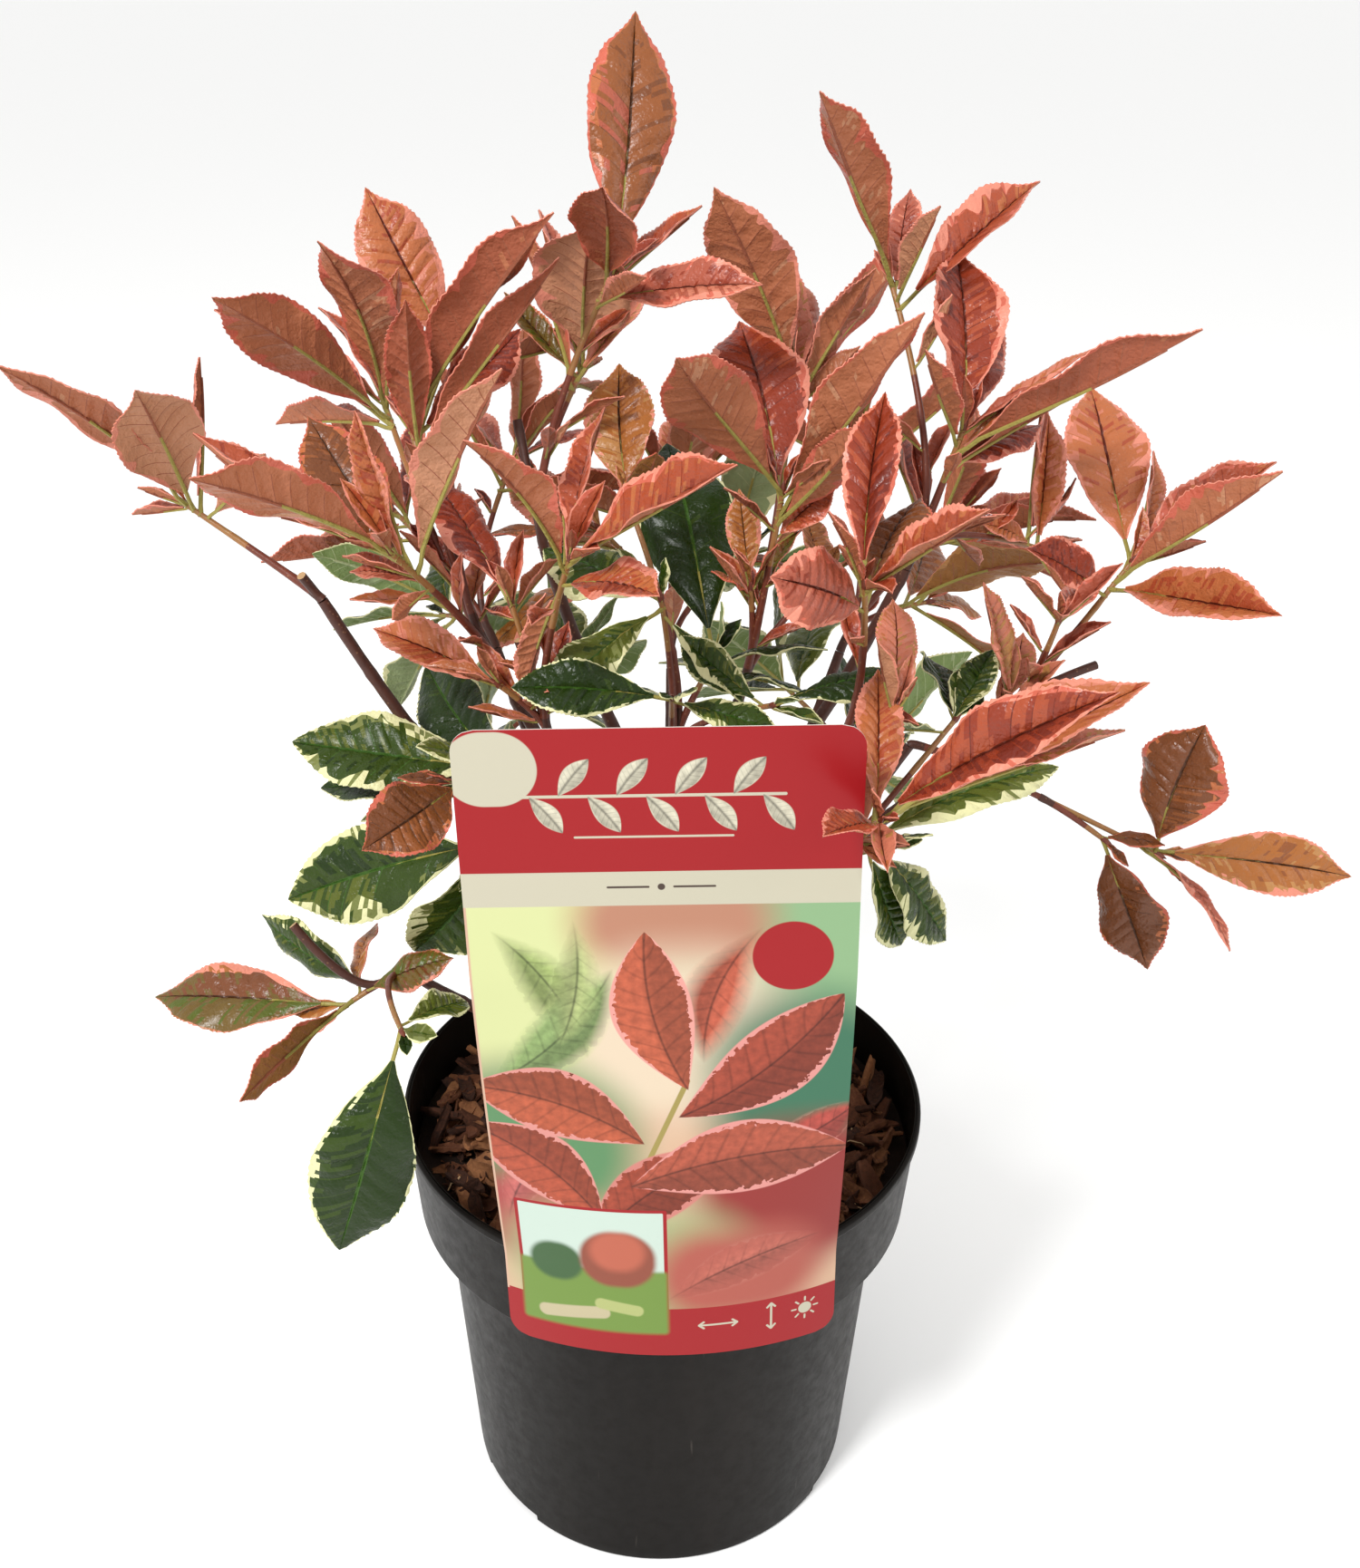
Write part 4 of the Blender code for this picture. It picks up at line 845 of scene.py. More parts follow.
# A leaf is (bearing, rise, length, roll, width): bearing 0 is +X, 90 is away from the viewer, and roll turns
# the blade about its own length, in degrees and mm. Width is a share of the usual one. Both may be left out.
# A shoot grows to its tip from the leader at a share of the leader's length, and `fill` leaves follow
# the golden angle round it. `bend` is the share of a twig that keeps its parent's heading: a small one
# makes it straight. A mass starts at the tip of its bough, which leaves the stem at a height.
Leaf = namedtuple("Leaf", "bearing rise length roll width", defaults=(0, 1.0))
Shoot = namedtuple("Shoot", "tip fork kind leaves fill bend", defaults=(0.0, "young", (), 2, 0.3))
Mass = namedtuple("Mass", "name leave_height bough_tip shoots")

MASSES = (
    Mass("far_left", 250, (-127, -12, 427), (
        Shoot((-176, 0, 459), 0.0, "young",
              ((-129, 46, 90, -30, 0.9), (-109, 60, 66, 0, 1.5), (95, 56, 60, -25, 0.9),
               (-31, 43, 46, -75, 1.2)), 0, 0.05),
        Shoot((-133, -16, 438), 0.05, "cut"),
    )),
    Mass("left", 294, (-60, -26, 404), (
        Shoot((-92, -60, 462), 0.0, "young",
              ((-132, 32, 86, 50), (158, 23, 84, 25, 0.8), (150, 11, 60, 15, 0.8), (135, 38, 66, 10, 1.3),
               (-138, 73, 60, -30, 0.8), (-41, 61, 90, -45, 0.8), (156, 8, 32, 20, 0.8),
               (160, 0, 30, -5, 1.1), (-120, -10, 24, 90)), 0),
        Shoot((-108, 40, 487), 0.15, "young",
              ((-107, 62, 76, -20, 1.2), (-56, 67, 58, 10, 0.7), (130, 41, 55, -10, 0.8),
               (-132, 38, 92, 40, 0.95), (138, 31, 80, -45, 1.3)), 1),
        Shoot((-92, 0, 487), 0.1, "young",
              ((-20, 56, 98, -5), (48, 30, 62, 45, 1.1), (64, 55, 75, -25, 0.6), (2, 52, 86, -10, 0.6)), 1),
        Shoot((-84, 62, 500), 0.2, "young", ((155, 60, 70, -105, 1.35), (119, 38, 60, -25)), 3),
    )),
    Mass("top", 318, (-46, 8, 440), (
        Shoot((-21, 20, 538), 0.0, "young",
              ((78, 63, 98, 0, 1.1), (-89, 44, 56, 0, 1.4), (38, 31, 52, -5, 0.6), (-32, 13, 66, 60),
               (-59, 27, 40, 10, 0.8)), 0),
        Shoot((-33, 52, 498), 0.35, "young",
              ((-81, 57, 72, -5, 1.7), (107, 46, 76, -10, 0.7), (143, 37, 46, -70, 0.9),
               (56, 33, 56, 40, 0.9)), 2),
        Shoot((-56, 22, 486), 0.05, "cut"),
    )),
    Mass("front", 268, (-42, -36, 380), (
        Shoot((-32, -70, 464), 0.0, "young",
              ((79, 36, 64, -45, 0.75), (-42, 36, 84, 35), (-125, 54, 72, 20, 0.9), (92, 43, 40, 55, 0.7),
               (-48, 11, 50, 20, 1.3), (134, -55, 50, 15, 0.7)), 0),
        Shoot((-54, -44, 438), 0.2, "young",
              ((126, 28, 64, 15, 1.1), (65, 22, 32, -15, 0.8), (120, -10, 28, 5, 0.8)), 0),
        Shoot((-59, -46, 408), 0.1, "young", ((145, 7, 62, -15),), 0),
        Shoot((-52, -44, 425), 0.12, "cut"),
    )),
    Mass("middle", 330, (28, -4, 384), (
        Shoot((41, -12, 469), 0.0, "young",
              ((-132, 45, 84, 50, 1.15), (104, 43, 82, -10, 1.35), (75, 46, 62, -65, 0.55),
               (-28, 58, 92, -20), (-45, 50, 60, -50), (-144, 44, 32, 20, 0.7), (0, 45, 30, 50, 1.5)), 0),
        Shoot((49, 50, 494), 0.25, "young",
              ((-146, 61, 84, 20, 1.2), (92, 49, 52, 0, 1.6), (47, 39, 80, -65), (100, 66, 60, -20, 0.7),
               (5, 45, 35, -45)), 1),
        Shoot((31, -8, 431), 0.3, "bronze",
              ((100, 52, 40, 0, 0.9), (-150, 40, 22, 0, 1.2), (40, 48, 34, 0, 0.8)), 0),
        Shoot((59, 10, 429), 0.15, "bronze", ((100, 28, 34, 0, 1.4), (-170, 20, 34)), 0),
    )),
    Mass("heart", 308, (2, -22, 366), (
        Shoot((18, -14, 406), 0.0, "green", ((104, 43, 98, -40), (0, 20, 45), (-30, 5, 44)), 0),
        Shoot((-14, 12, 456), 0.3, "bronze", ((98, 52, 58, 5, 1.35), (-70, 50, 40)), 0),
        Shoot((-2, -25, 433), 0.15, "green", ((150, 15, 52, -20, 1.4), (-150, -18, 60, -20, 0.9),
                                              (-40, -30, 44, 0, 0.9)), 0),
        Shoot((2, -58, 409), 0.05, "green", ((180, 0, 56, -30, 0.9), (-20, -5, 40)), 0),
        Shoot((37, -52, 404), 0.1, "green", ((15, 12, 48, -30, 0.9), (150, 30, 40, -30)), 0),
    )),
    Mass("right_high", 298, (88, -8, 440), (
        Shoot((104, -10, 492), 0.0, "young",
              ((89, 45, 76, 0, 1.2), (74, 40, 70, 15, 1.1), (-125, 52, 50, -15, 0.8), (-26, 33, 94, -20, 0.9),
               (0, 46, 61, 10, 0.6), (33, 15, 46, 15, 1.1)), 1),
        Shoot((81, 30, 534), 0.2, "young",
              ((-126, 54, 90, -20, 0.7), (79, 52, 44, 10, 1.1), (-75, 55, 48, 15, 0.7),
               (37, 27, 80, 45, 0.9)), 0),
        Shoot((142, 20, 439), 0.1, "young",
              ((-98, 78, 54, -120), (-148, 27, 30, -50, 1.1), (72, 47, 64, -35), (38, 32, 36, 65, 0.7)), 0),
    )),
    Mass("front_right", 282, (62, -52, 388), (
        Shoot((63, -88, 462), 0.0, "young",
              ((80, 40, 78, -10, 0.8), (-52, 41, 62, 25, 0.7), (-125, 54, 45, -25, 0.6),
               (64, 31, 52, -15, 1.4), (-136, 27, 50, -70, 1.7)), 0),
    )),
    Mass("label_edge", 238, (58, -62, 338), (
        Shoot((69, -120, 395), 0.0, "young",
              ((-37, 44, 94, 15, 0.95), (16, 23, 100, -15, 0.8), (19, 14, 92, -30, 0.9),
               (-129, 14, 42, 0, 1.1), (92, 27, 62, 15, 0.9)), 0),
        Shoot((74, -80, 362), 0.4, "green",
              ((28, -54, 60, 35), (5, -66, 52, 45, 1.1), (24, 14, 86, -15, 0.6)), 0),
        Shoot((78, -74, 412), 0.3, "young", ((85, 40, 46, 0, 1.1),), 0),
        Shoot((105, -40, 393), 0.25, "green", ((100, 25, 36, 0, 1.6), (55, 35, 38), (-160, 10, 36, 0, 1.3)), 0),
    )),
    Mass("right", 270, (126, -8, 376), (
        Shoot((173, 0, 440), 0.0, "young",
              ((96, 42, 82, -35, 1.2), (62, 45, 52, 50, 0.7), (29, 38, 72, 5), (-39, 45, 76, 0, 0.8),
               (-66, 15, 84, 65, 0.85), (-148, 32, 50, -60, 1.2)), 0),
        Shoot((141, -30, 428), 0.2, "young", ((-145, 50, 30), (45, 30, 30), (65, 5, 44)), 0),
        Shoot((129, -18, 391), 0.02, "young", ((-160, 62, 54, 0, 0.9), (70, 40, 32, 0, 1.4)), 0),
        Shoot((166, 2, 398), 0.15, "cut"),
    )),
    Mass("low_right", 250, (100, 24, 352), (
        Shoot((200, 0, 316), 0.0, "bronze",
              ((0, 80, 58, -120, 1.9), (0, -8, 88, 55, 0.8), (-65, -11, 60, 10, 0.6)), 0, 0.05),
        Shoot((178, 1, 322), 0.72, "bronze", ((-42, -61, 58, 105, 1.45),), 0),
    )),
    Mass("left_green", 228, (-46, -24, 338), (
        Shoot((-58, -30, 366), 0.0, "green",
              ((150, -2, 88, -30), (152, -8, 84, -20, 0.85), (-129, 38, 58, -35, 0.8),
               (133, 9, 84, -30, 0.8), (156, -9, 72, 0, 0.7)), 0),
        Shoot((-64, -38, 340), 0.2, "green",
              ((165, -24, 98, -15, 1.05), (180, -57, 66, -75, 1.4)), 0),
        Shoot((-76, -40, 366), 0.3, "bronze", ((-126, -6, 50, -55, 1.6),), 0),
    )),
    Mass("low_left", 206, (-98, -40, 280), (
        Shoot((-124, -50, 273), 0.0, "bronze",
              ((167, -4, 86, 5), (-116, 2, 72, 25, 0.8), (91, 11, 44, 10, 0.75), (-33, 31, 40, 10, 1.2),
               (150, 12, 60, -20, 0.9)), 0),
        Shoot((-94, -98, 296), 0.1, "green", ((-145, -70, 94, 0, 1.05), (57, -14, 40, -25)), 0),
        Shoot((-143, -44, 306), 0.6, "cut"),
    )),
    Mass("back_left", 238, (-72, 62, 378), (
        Shoot((-118, 104, 424), 0.0, "young", (), 8),
        Shoot((-66, 124, 446), 0.15, "young", (), 8),
        Shoot((-96, 84, 384), 0.1, "green", (), 5),
    )),
    Mass("back", 258, (2, 84, 360), (
        Shoot((2, 128, 430), 0.0, "young", (), 8),
        Shoot((-28, 98, 418), 0.25, "bronze", (), 7),
        Shoot((36, 142, 392), 0.1, "green", (), 6),
    )),
    Mass("back_right", 232, (74, 66, 376), (
        Shoot((124, 92, 428), 0.0, "young", (), 8),
        Shoot((74, 112, 458), 0.15, "young", (), 8),
        Shoot((112, 84, 392), 0.1, "bronze", (), 5),
    )),
    Mass("low_back_left", 212, (-84, 84, 290), (
        Shoot((-92, 124, 292), 0.0, "green", (), 7),
        Shoot((-48, 136, 330), 0.2, "green", (), 6),
    )),
    Mass("low_back_right", 214, (86, 88, 292), (
        Shoot((94, 126, 292), 0.0, "green", (), 7),
        Shoot((50, 138, 334), 0.2, "green", (), 6),
    )),
)


def bow(start, control, end, share):
    return start * (1 - share) ** 2 + control * 2 * share * (1 - share) + end * share ** 2


def bow_direction(start, control, end, share):
    return ((control - start) * (1 - share) + (end - control) * share).normalized()


def trunk_curve():
    """The stem rises upright from the mulch and then leans to its tip."""
    control = Vector((TRUNK_FOOT.x, TRUNK_FOOT.y, (TRUNK_FOOT.z + TRUNK_TIP.z) / 2))
    return (TRUNK_FOOT, control, TRUNK_TIP)


def bough_curve(mass):
    """A bough leaves the stem outwards and then bows up to its tip."""
    share = (mass.leave_height - TRUNK_FOOT.z) / (TRUNK_TIP.z - TRUNK_FOOT.z)
    start = bow(*trunk_curve(), min(share, 0.985))
    end = Vector(mass.bough_tip)
    reach = end - start
    control = start + Vector((reach.x * 0.55, reach.y * 0.55, reach.z * 0.32))
    return (start, control, end)


def limb(curve, radii, sides, step, seed, flare=1.0):
    """Points and faces of a woody tube along a bow, wrinkled, and swollen at its rings of leaf scars."""
    length = sum((bow(*curve, (i + 1) / 12) - bow(*curve, i / 12)).length for i in range(12))
    rings = max(8, int(length / step))
    shares = [ring / rings for ring in range(rings + 1)]
    path = [bow(*curve, share) for share in shares]
    angles = [math.tau * side / sides for side in range(sides)]
    widths, relief = [], []
    for share in shares:
        down = share * length
        scar = down / SCAR_STEP + seed * 0.37
        swell = math.exp(-((scar - round(scar)) * SCAR_STEP / 1.3) ** 2)
        facing = round(scar) * math.radians(137.5)
        foot = 1 + (flare - 1) * math.exp(-down / 7.0)
        widths.append((radii[0] + (radii[1] - radii[0]) * share) * foot)
        relief.append([1 + 0.055 * noise.noise(Vector((math.cos(angle) * 2.2, math.sin(angle) * 2.2, down / 5 + seed)))
                       + 0.22 * swell * (0.35 + 0.65 * max(0.0, math.cos(angle - facing))) for angle in angles])
    return tube(path, widths, sides, np.array(relief))


def bark_wood(name, dark, light, pore, roughness):
    """Thin smooth bark with fine lengthwise wrinkles and pale raised pores about 1.5 mm apart."""
    made, tree, shader = new_finish(name, {"Roughness": roughness, "Specular IOR Level": 0.4})
    place = add_node(tree, "ShaderNodeTexCoord").outputs["Object"]
    streaks = add_node(tree, "ShaderNodeTexNoise", {"Vector": place, "Scale": 1 / (4 * MM), "Detail": 6.0,
                                                    "Roughness": 0.6}).outputs["Fac"]
    tone = add_node(tree, "ShaderNodeMix", {0: streaks, 6: linear(dark), 7: linear(light)}, data_type="RGBA")
    pores = add_node(tree, "ShaderNodeTexVoronoi", {"Vector": place, "Scale": 1 / (2.4 * MM)}).outputs["Distance"]
    dots = add_node(tree, "ShaderNodeMapRange", {"Value": pores, "From Min": 0.1, "From Max": 0.2,
                                                 "To Min": 0.75, "To Max": 0.0}).outputs["Result"]
    dotted = add_node(tree, "ShaderNodeMix", {0: dots, 6: tone.outputs[2], 7: linear(pore)}, data_type="RGBA")
    tree.links.new(dotted.outputs[2], shader.inputs["Base Color"])
    relief = add_node(tree, "ShaderNodeBump", {"Height": streaks, "Strength": 0.5, "Distance": 0.0006})
    tree.links.new(relief.outputs["Normal"], shader.inputs["Normal"])
    return made


stem_bark = bark_wood("red_brown_bark", "2A100A", "52291A", "735036", 0.5)
trunk_points, trunk_faces = limb(trunk_curve(), TRUNK_RADII, 20, RING_STEP, 3, TRUNK_FLARE)
trunk = add_piece("stem_bark", trunk_points, trunk_faces, [stem_bark], sharp=60)
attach(trunk, "root")
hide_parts("main_stem")
for number, mass in enumerate(MASSES):
    wood_points, wood_faces = limb(bough_curve(mass), BOUGH_RADII, BARK_SIDES, RING_STEP, number)
    wood = add_piece(f"wood_{mass.name}", wood_points, wood_faces, [stem_bark], sharp=60)
    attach(wood, "root")
    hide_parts(f"bough_{mass.name}")


# Twigs: this year's and last year's shoots, dark red at their foot, brighter red above and yellow-green
# where they are still soft. Pruned stubs end in a pale cut, and each growing tip holds a pointed bud.
TWIG_SIDES = 8
TWIG_STEP = 3.0
TWIG_BASE = 2.0
TWIG_TIP = 1.0
STUB_TIP = 1.8
BUD_LENGTH = 6.0
BUD_RADIUS = 1.3
GOLDEN_ANGLE = math.radians(137.5)
LEAF_NODE_STEP = 3.0


def shoot_curve(mass, shoot, leader):
    """A shoot leaves along its parent's direction and bows to its growth tip."""
    if shoot is mass.shoots[0]:
        bough = bough_curve(mass)
        heading = bow_direction(*bough, 1.0)
        start = bough[2] + heading * GAP
    else:
        heading = bow_direction(*leader, shoot.fork)
        start = bow(*leader, shoot.fork)
    end = Vector(shoot.tip)
    return (start, start + heading * (end - start).length * shoot.bend, end)


red_shoot = bark_wood("red_shoot_skin", "4F1E12", "763824", "8C5C3B", 0.44)
green_shoot = bark_wood("green_shoot_skin", "7D6832", "985635", "AE945E", 0.4)
cut_wood = bark_wood("pruned_wood", "98764F", "B69770", "7D5A39", 0.8)
TWIG_FINISHES = [stem_bark, red_shoot, green_shoot, cut_wood]


def grow_twig(heap, curve, shoot, first, seed):
    """One shoot of a mass, with its colours ring by ring and its bud or its cut end."""
    pruned = shoot.kind == "cut"
    radii = (TWIG_BASE if first else TWIG_BASE * 0.8, STUB_TIP if pruned else TWIG_TIP)
    points, faces = limb(curve, radii, TWIG_SIDES, TWIG_STEP, seed)
    rings = (len(faces) - 2) // TWIG_SIDES
    marks = []
    for ring in range(rings):
        share = ring / rings
        mark = 0 if pruned or share < 0.22 else 1 if share < 0.72 else 2
        marks += [mark] * TWIG_SIDES
    heap.add(points, faces, marks + [0, 3 if pruned else 2])
    if not pruned:
        along = bow_direction(*curve, 1.0)
        shape = [(0.0, 0.75), (0.25, 1.0), (0.55, 0.85), (0.8, 0.5), (1.0, 0.08)]
        path = [curve[2] + along * BUD_LENGTH * (share - 0.1) for share, _ in shape]
        heap.add(*tube(path, [BUD_RADIUS * size for _, size in shape], 7), 1)


# Leaves: leathery blades on short petioles, folded along the midrib, sunk over the side veins and
# finely toothed. The young ones are coral-edged terracotta, the old ones green, marbled grey and cream.
WIDTH_RATIO = {"young": 0.33, "bronze": 0.36, "green": 0.40}
FULLEST = {"young": 1.14, "bronze": 1.14, "green": 1.2}
POINTED = {"young": 0.5, "bronze": 0.45, "green": 0.1}
LEAF_FOLD = 0.30
LEAF_ARCH = 0.06
LEAF_SHEET = 0.42
SEATS = ((0, 0), (0, 5), (0, -5), (5, 0), (-5, 0), (8, 8), (-8, 8), (12, -4), (-12, -4), (18, 4), (-18, 4),
         (26, 0), (-26, 0), (38, 8), (-38, 8))
SEAT = 1.2
PETIOLE_SHARE = 0.12
VEIN_HALF = 0.0026
VEIN_SLANT = 0.15
VEIN_STRAY = 0.014
TOOTH = 0.5

FOLIAGE_CODES = {
    "maroon_blade": ("632012", 0.34), "brick_blade": ("7E2E18", 0.34), "terracotta_blade": ("954226", 0.34),
    "rust_blade": ("A45C34", 0.36), "rose_blade": ("984C38", 0.36), "umber_blade": ("68391B", 0.34),
    "salmon_patch": ("B56B53", 0.38), "coral_margin": ("CA7D68", 0.4), "rose_margin": ("B35844", 0.4),
    "russet_vein": ("541E11", 0.4), "russet_under": ("8F4B32", 0.47), "copper_under": ("9F5F40", 0.47),
    "pale_salmon_under": ("AE795A", 0.47), "russet_under_vein": ("864B34", 0.5), "yellow_green_rib": ("8E8444", 0.42),
    "bronze_blade": ("7D4621", 0.34), "olive_blade": ("5F491A", 0.34), "golden_blade": ("945825", 0.36),
    "tan_patch": ("A37240", 0.38), "apricot_margin": ("BE8260", 0.4), "bronze_vein": ("442511", 0.4),
    "bronze_under": ("875829", 0.5), "deep_green_blade": ("1B2C06", 0.32), "leaf_green_blade": ("2C3D0C", 0.33),
    "olive_green_blade": ("4C5419", 0.35), "grey_green_patch": ("686E3A", 0.38), "cream_margin": ("C8C696", 0.42),
    "green_vein": ("34511A", 0.4), "sage_under": ("677942", 0.55), "grey_sage_under": ("808D61", 0.55),
    "sage_under_vein": ("929B70", 0.5),
}
Look = namedtuple("Look", "inner outer rib dark blade light patch margin vein under under_light under_margin under_vein")
LOOKS = {
    "coral": Look((0.6, 0.94), (0.66, 0.97), "russet_vein", "brick_blade", "terracotta_blade", "rust_blade",
                  "rose_margin", "coral_margin", "brick_blade", "copper_under", "pale_salmon_under", "rose_margin",
                  "russet_under_vein"),
    "crimson": Look((0.7, 0.96), (0.74, 0.975), "russet_vein", "maroon_blade", "brick_blade", "terracotta_blade",
                    "rose_margin", "coral_margin", "maroon_blade", "russet_under", "copper_under", "rose_margin",
                    "russet_under_vein"),
    "rust": Look((0.6, 0.94), (0.7, 0.975), "russet_vein", "terracotta_blade", "rust_blade", "salmon_patch",
                 "salmon_patch", "coral_margin", "terracotta_blade", "copper_under", "pale_salmon_under",
                 "coral_margin", "russet_under_vein"),
    "rose": Look((0.5, 0.92), (0.6, 0.96), "russet_vein", "brick_blade", "rose_blade", "salmon_patch", "rose_margin",
                 "coral_margin", "terracotta_blade", "copper_under", "pale_salmon_under", "rose_margin",
                 "russet_under_vein"),
    "tan": Look((0.6, 0.94), (0.76, 0.975), "russet_vein", "rust_blade", "salmon_patch", "tan_patch", "tan_patch",
                "coral_margin", "rust_blade", "pale_salmon_under", "pale_salmon_under", "coral_margin",
                "russet_under_vein"),
    "umber": Look((0.66, 0.95), (0.78, 0.97), "bronze_vein", "umber_blade", "umber_blade", "bronze_blade",
                  "rust_blade", "rose_margin", "bronze_vein", "copper_under", "bronze_under", "apricot_margin",
                  "russet_under_vein"),
    "golden": Look((0.5, 0.94), (0.7, 0.975), "bronze_vein", "bronze_blade", "golden_blade", "tan_patch",
                   "tan_patch", "coral_margin", "bronze_blade", "bronze_under", "bronze_under",
                   "rose_margin", "russet_under_vein"),
    "brown": Look((0.66, 0.96), (0.8, 0.98), "bronze_vein", "umber_blade", "bronze_blade", "rose_blade", "rust_blade",
                  "rose_margin", "umber_blade", "bronze_under", "bronze_under", "tan_patch", "russet_under_vein"),
    "olive": Look((0.66, 0.955), (0.84, 0.985), "bronze_vein", "olive_green_blade", "olive_blade", "umber_blade",
                  "golden_blade", "coral_margin", "umber_blade", "bronze_under", "bronze_under", "rose_margin",
                  "russet_under_vein"),
    "deep": Look((0.78, 0.97), (0.92, 0.988), "green_vein", "deep_green_blade", "deep_green_blade",
                 "leaf_green_blade", "leaf_green_blade", "cream_margin", "leaf_green_blade", "sage_under",
                 "grey_sage_under", "cream_margin", "sage_under_vein"),
    "marbled": Look((0.36, 0.86), (0.6, 0.96), "green_vein", "deep_green_blade", "leaf_green_blade",
                    "olive_green_blade", "grey_green_patch", "cream_margin", "green_vein", "sage_under",
                    "grey_sage_under", "cream_margin", "sage_under_vein"),
    "pale": Look((0.3, 0.8), (0.66, 0.96), "green_vein", "leaf_green_blade", "olive_green_blade", "grey_green_patch",
                 "grey_green_patch", "cream_margin", "olive_green_blade", "grey_sage_under", "grey_sage_under",
                 "cream_margin", "sage_under_vein"),
}
KIND_TINTS = {"young": ("coral", "rust", "crimson", "rose"), "bronze": ("golden", "brown", "olive"),
              "green": ("deep", "marbled", "pale")}
SPRAY_TINTS = {
    "far_left0": ("rust", "tan", "rose", "tan"),
    "left0": ("rose", "coral", "rust", "umber", "rust", "tan", "rose", "rose", "rust"),
    "left1": ("coral", "coral", "coral", "rose", "crimson"),
    "left2": ("crimson", "crimson", "rust", "crimson"),
    "left3": ("rust", "coral"),
    "top0": ("brown", "crimson", "coral", "rose", "rust"),
    "top1": ("tan", "rose", "olive", "tan"),
    "front0": ("coral", "coral", "coral", "crimson", "coral", "rust"),
    "front1": ("crimson", "rust", "coral"),
    "front2": ("rust",),
    "middle0": ("coral", "crimson", "rose", "rose", "rose", "crimson"),
    "middle1": ("rust", "tan", "rose", "tan", "rust"),
    "heart0": ("deep",),
    "heart1": ("golden", "brown"),
    "heart2": ("marbled", "pale", "marbled"),
    "right_high0": ("crimson", "crimson", "rose", "crimson", "rust", "crimson"),
    "right_high1": ("rose", "rose", "tan", "coral"),
    "right_high2": ("rust", "rust", "coral", "rose"),
    "front_right0": ("crimson", "coral", "coral", "umber", "rose"),
    "label_edge0": ("crimson", "rust", "tan", "coral", "rust"),
    "label_edge1": ("marbled", "marbled", "pale"),
    "label_edge2": ("tan",),
    "right0": ("rust", "rust", "coral", "rose", "rust", "crimson"),
    "right1": ("rose",),
    "right2": ("tan",),
    "low_right0": ("umber", "golden", "rose"),
    "low_right1": ("umber",),
    "left_green0": ("marbled", "deep", "pale", "deep", "pale"),
    "left_green1": ("marbled",),
    "left_green2": ("umber",),
    "low_left0": ("olive", "golden", "golden", "olive", "marbled"),
    "low_left1": ("deep", "pale"),
}


def leaf_finish(name, code, roughness):
    """Waxy leaf skin: plain colour, a net of the finest veins about 1.2 mm apart in relief, and an uneven gloss."""
    made, tree, shader = new_finish(name, {"Base Color": linear(code), "Coat Roughness": 0.2,
                                           "Specular IOR Level": 0.18 if "green" in name else 0.3,
                                           "Coat Weight": 0.1 if roughness < 0.4 else 0.0})
    place = add_node(tree, "ShaderNodeTexCoord").outputs["Object"]
    net = add_node(tree, "ShaderNodeTexVoronoi", {"Vector": place, "Scale": 1 / (1.9 * MM)},
                   feature="DISTANCE_TO_EDGE").outputs["Distance"]
    blisters = add_node(tree, "ShaderNodeTexNoise", {"Vector": place, "Scale": 1 / (5 * MM), "Detail": 3.0})
    ridges = add_node(tree, "ShaderNodeMath", {0: net, 1: blisters.outputs["Fac"]}, operation="MULTIPLY").outputs[0]
    relief = add_node(tree, "ShaderNodeBump", {"Height": ridges, "Strength": 0.6, "Distance": 0.001})
    puckers = add_node(tree, "ShaderNodeBump", {"Height": blisters.outputs["Fac"], "Strength": 0.5, "Distance": 0.0025,
                                                "Normal": relief.outputs["Normal"]})
    tree.links.new(puckers.outputs["Normal"], shader.inputs["Normal"])
    gloss = add_node(tree, "ShaderNodeMapRange", {"Value": blisters.outputs["Fac"], "From Min": 0.3, "From Max": 0.7,
                                                  "To Min": roughness - 0.1, "To Max": roughness + 0.12})
    tree.links.new(gloss.outputs["Result"], shader.inputs["Roughness"])
    return made


FOLIAGE_NAMES = list(FOLIAGE_CODES)
FOLIAGE_FINISHES = [leaf_finish(name, *values) for name, values in FOLIAGE_CODES.items()]


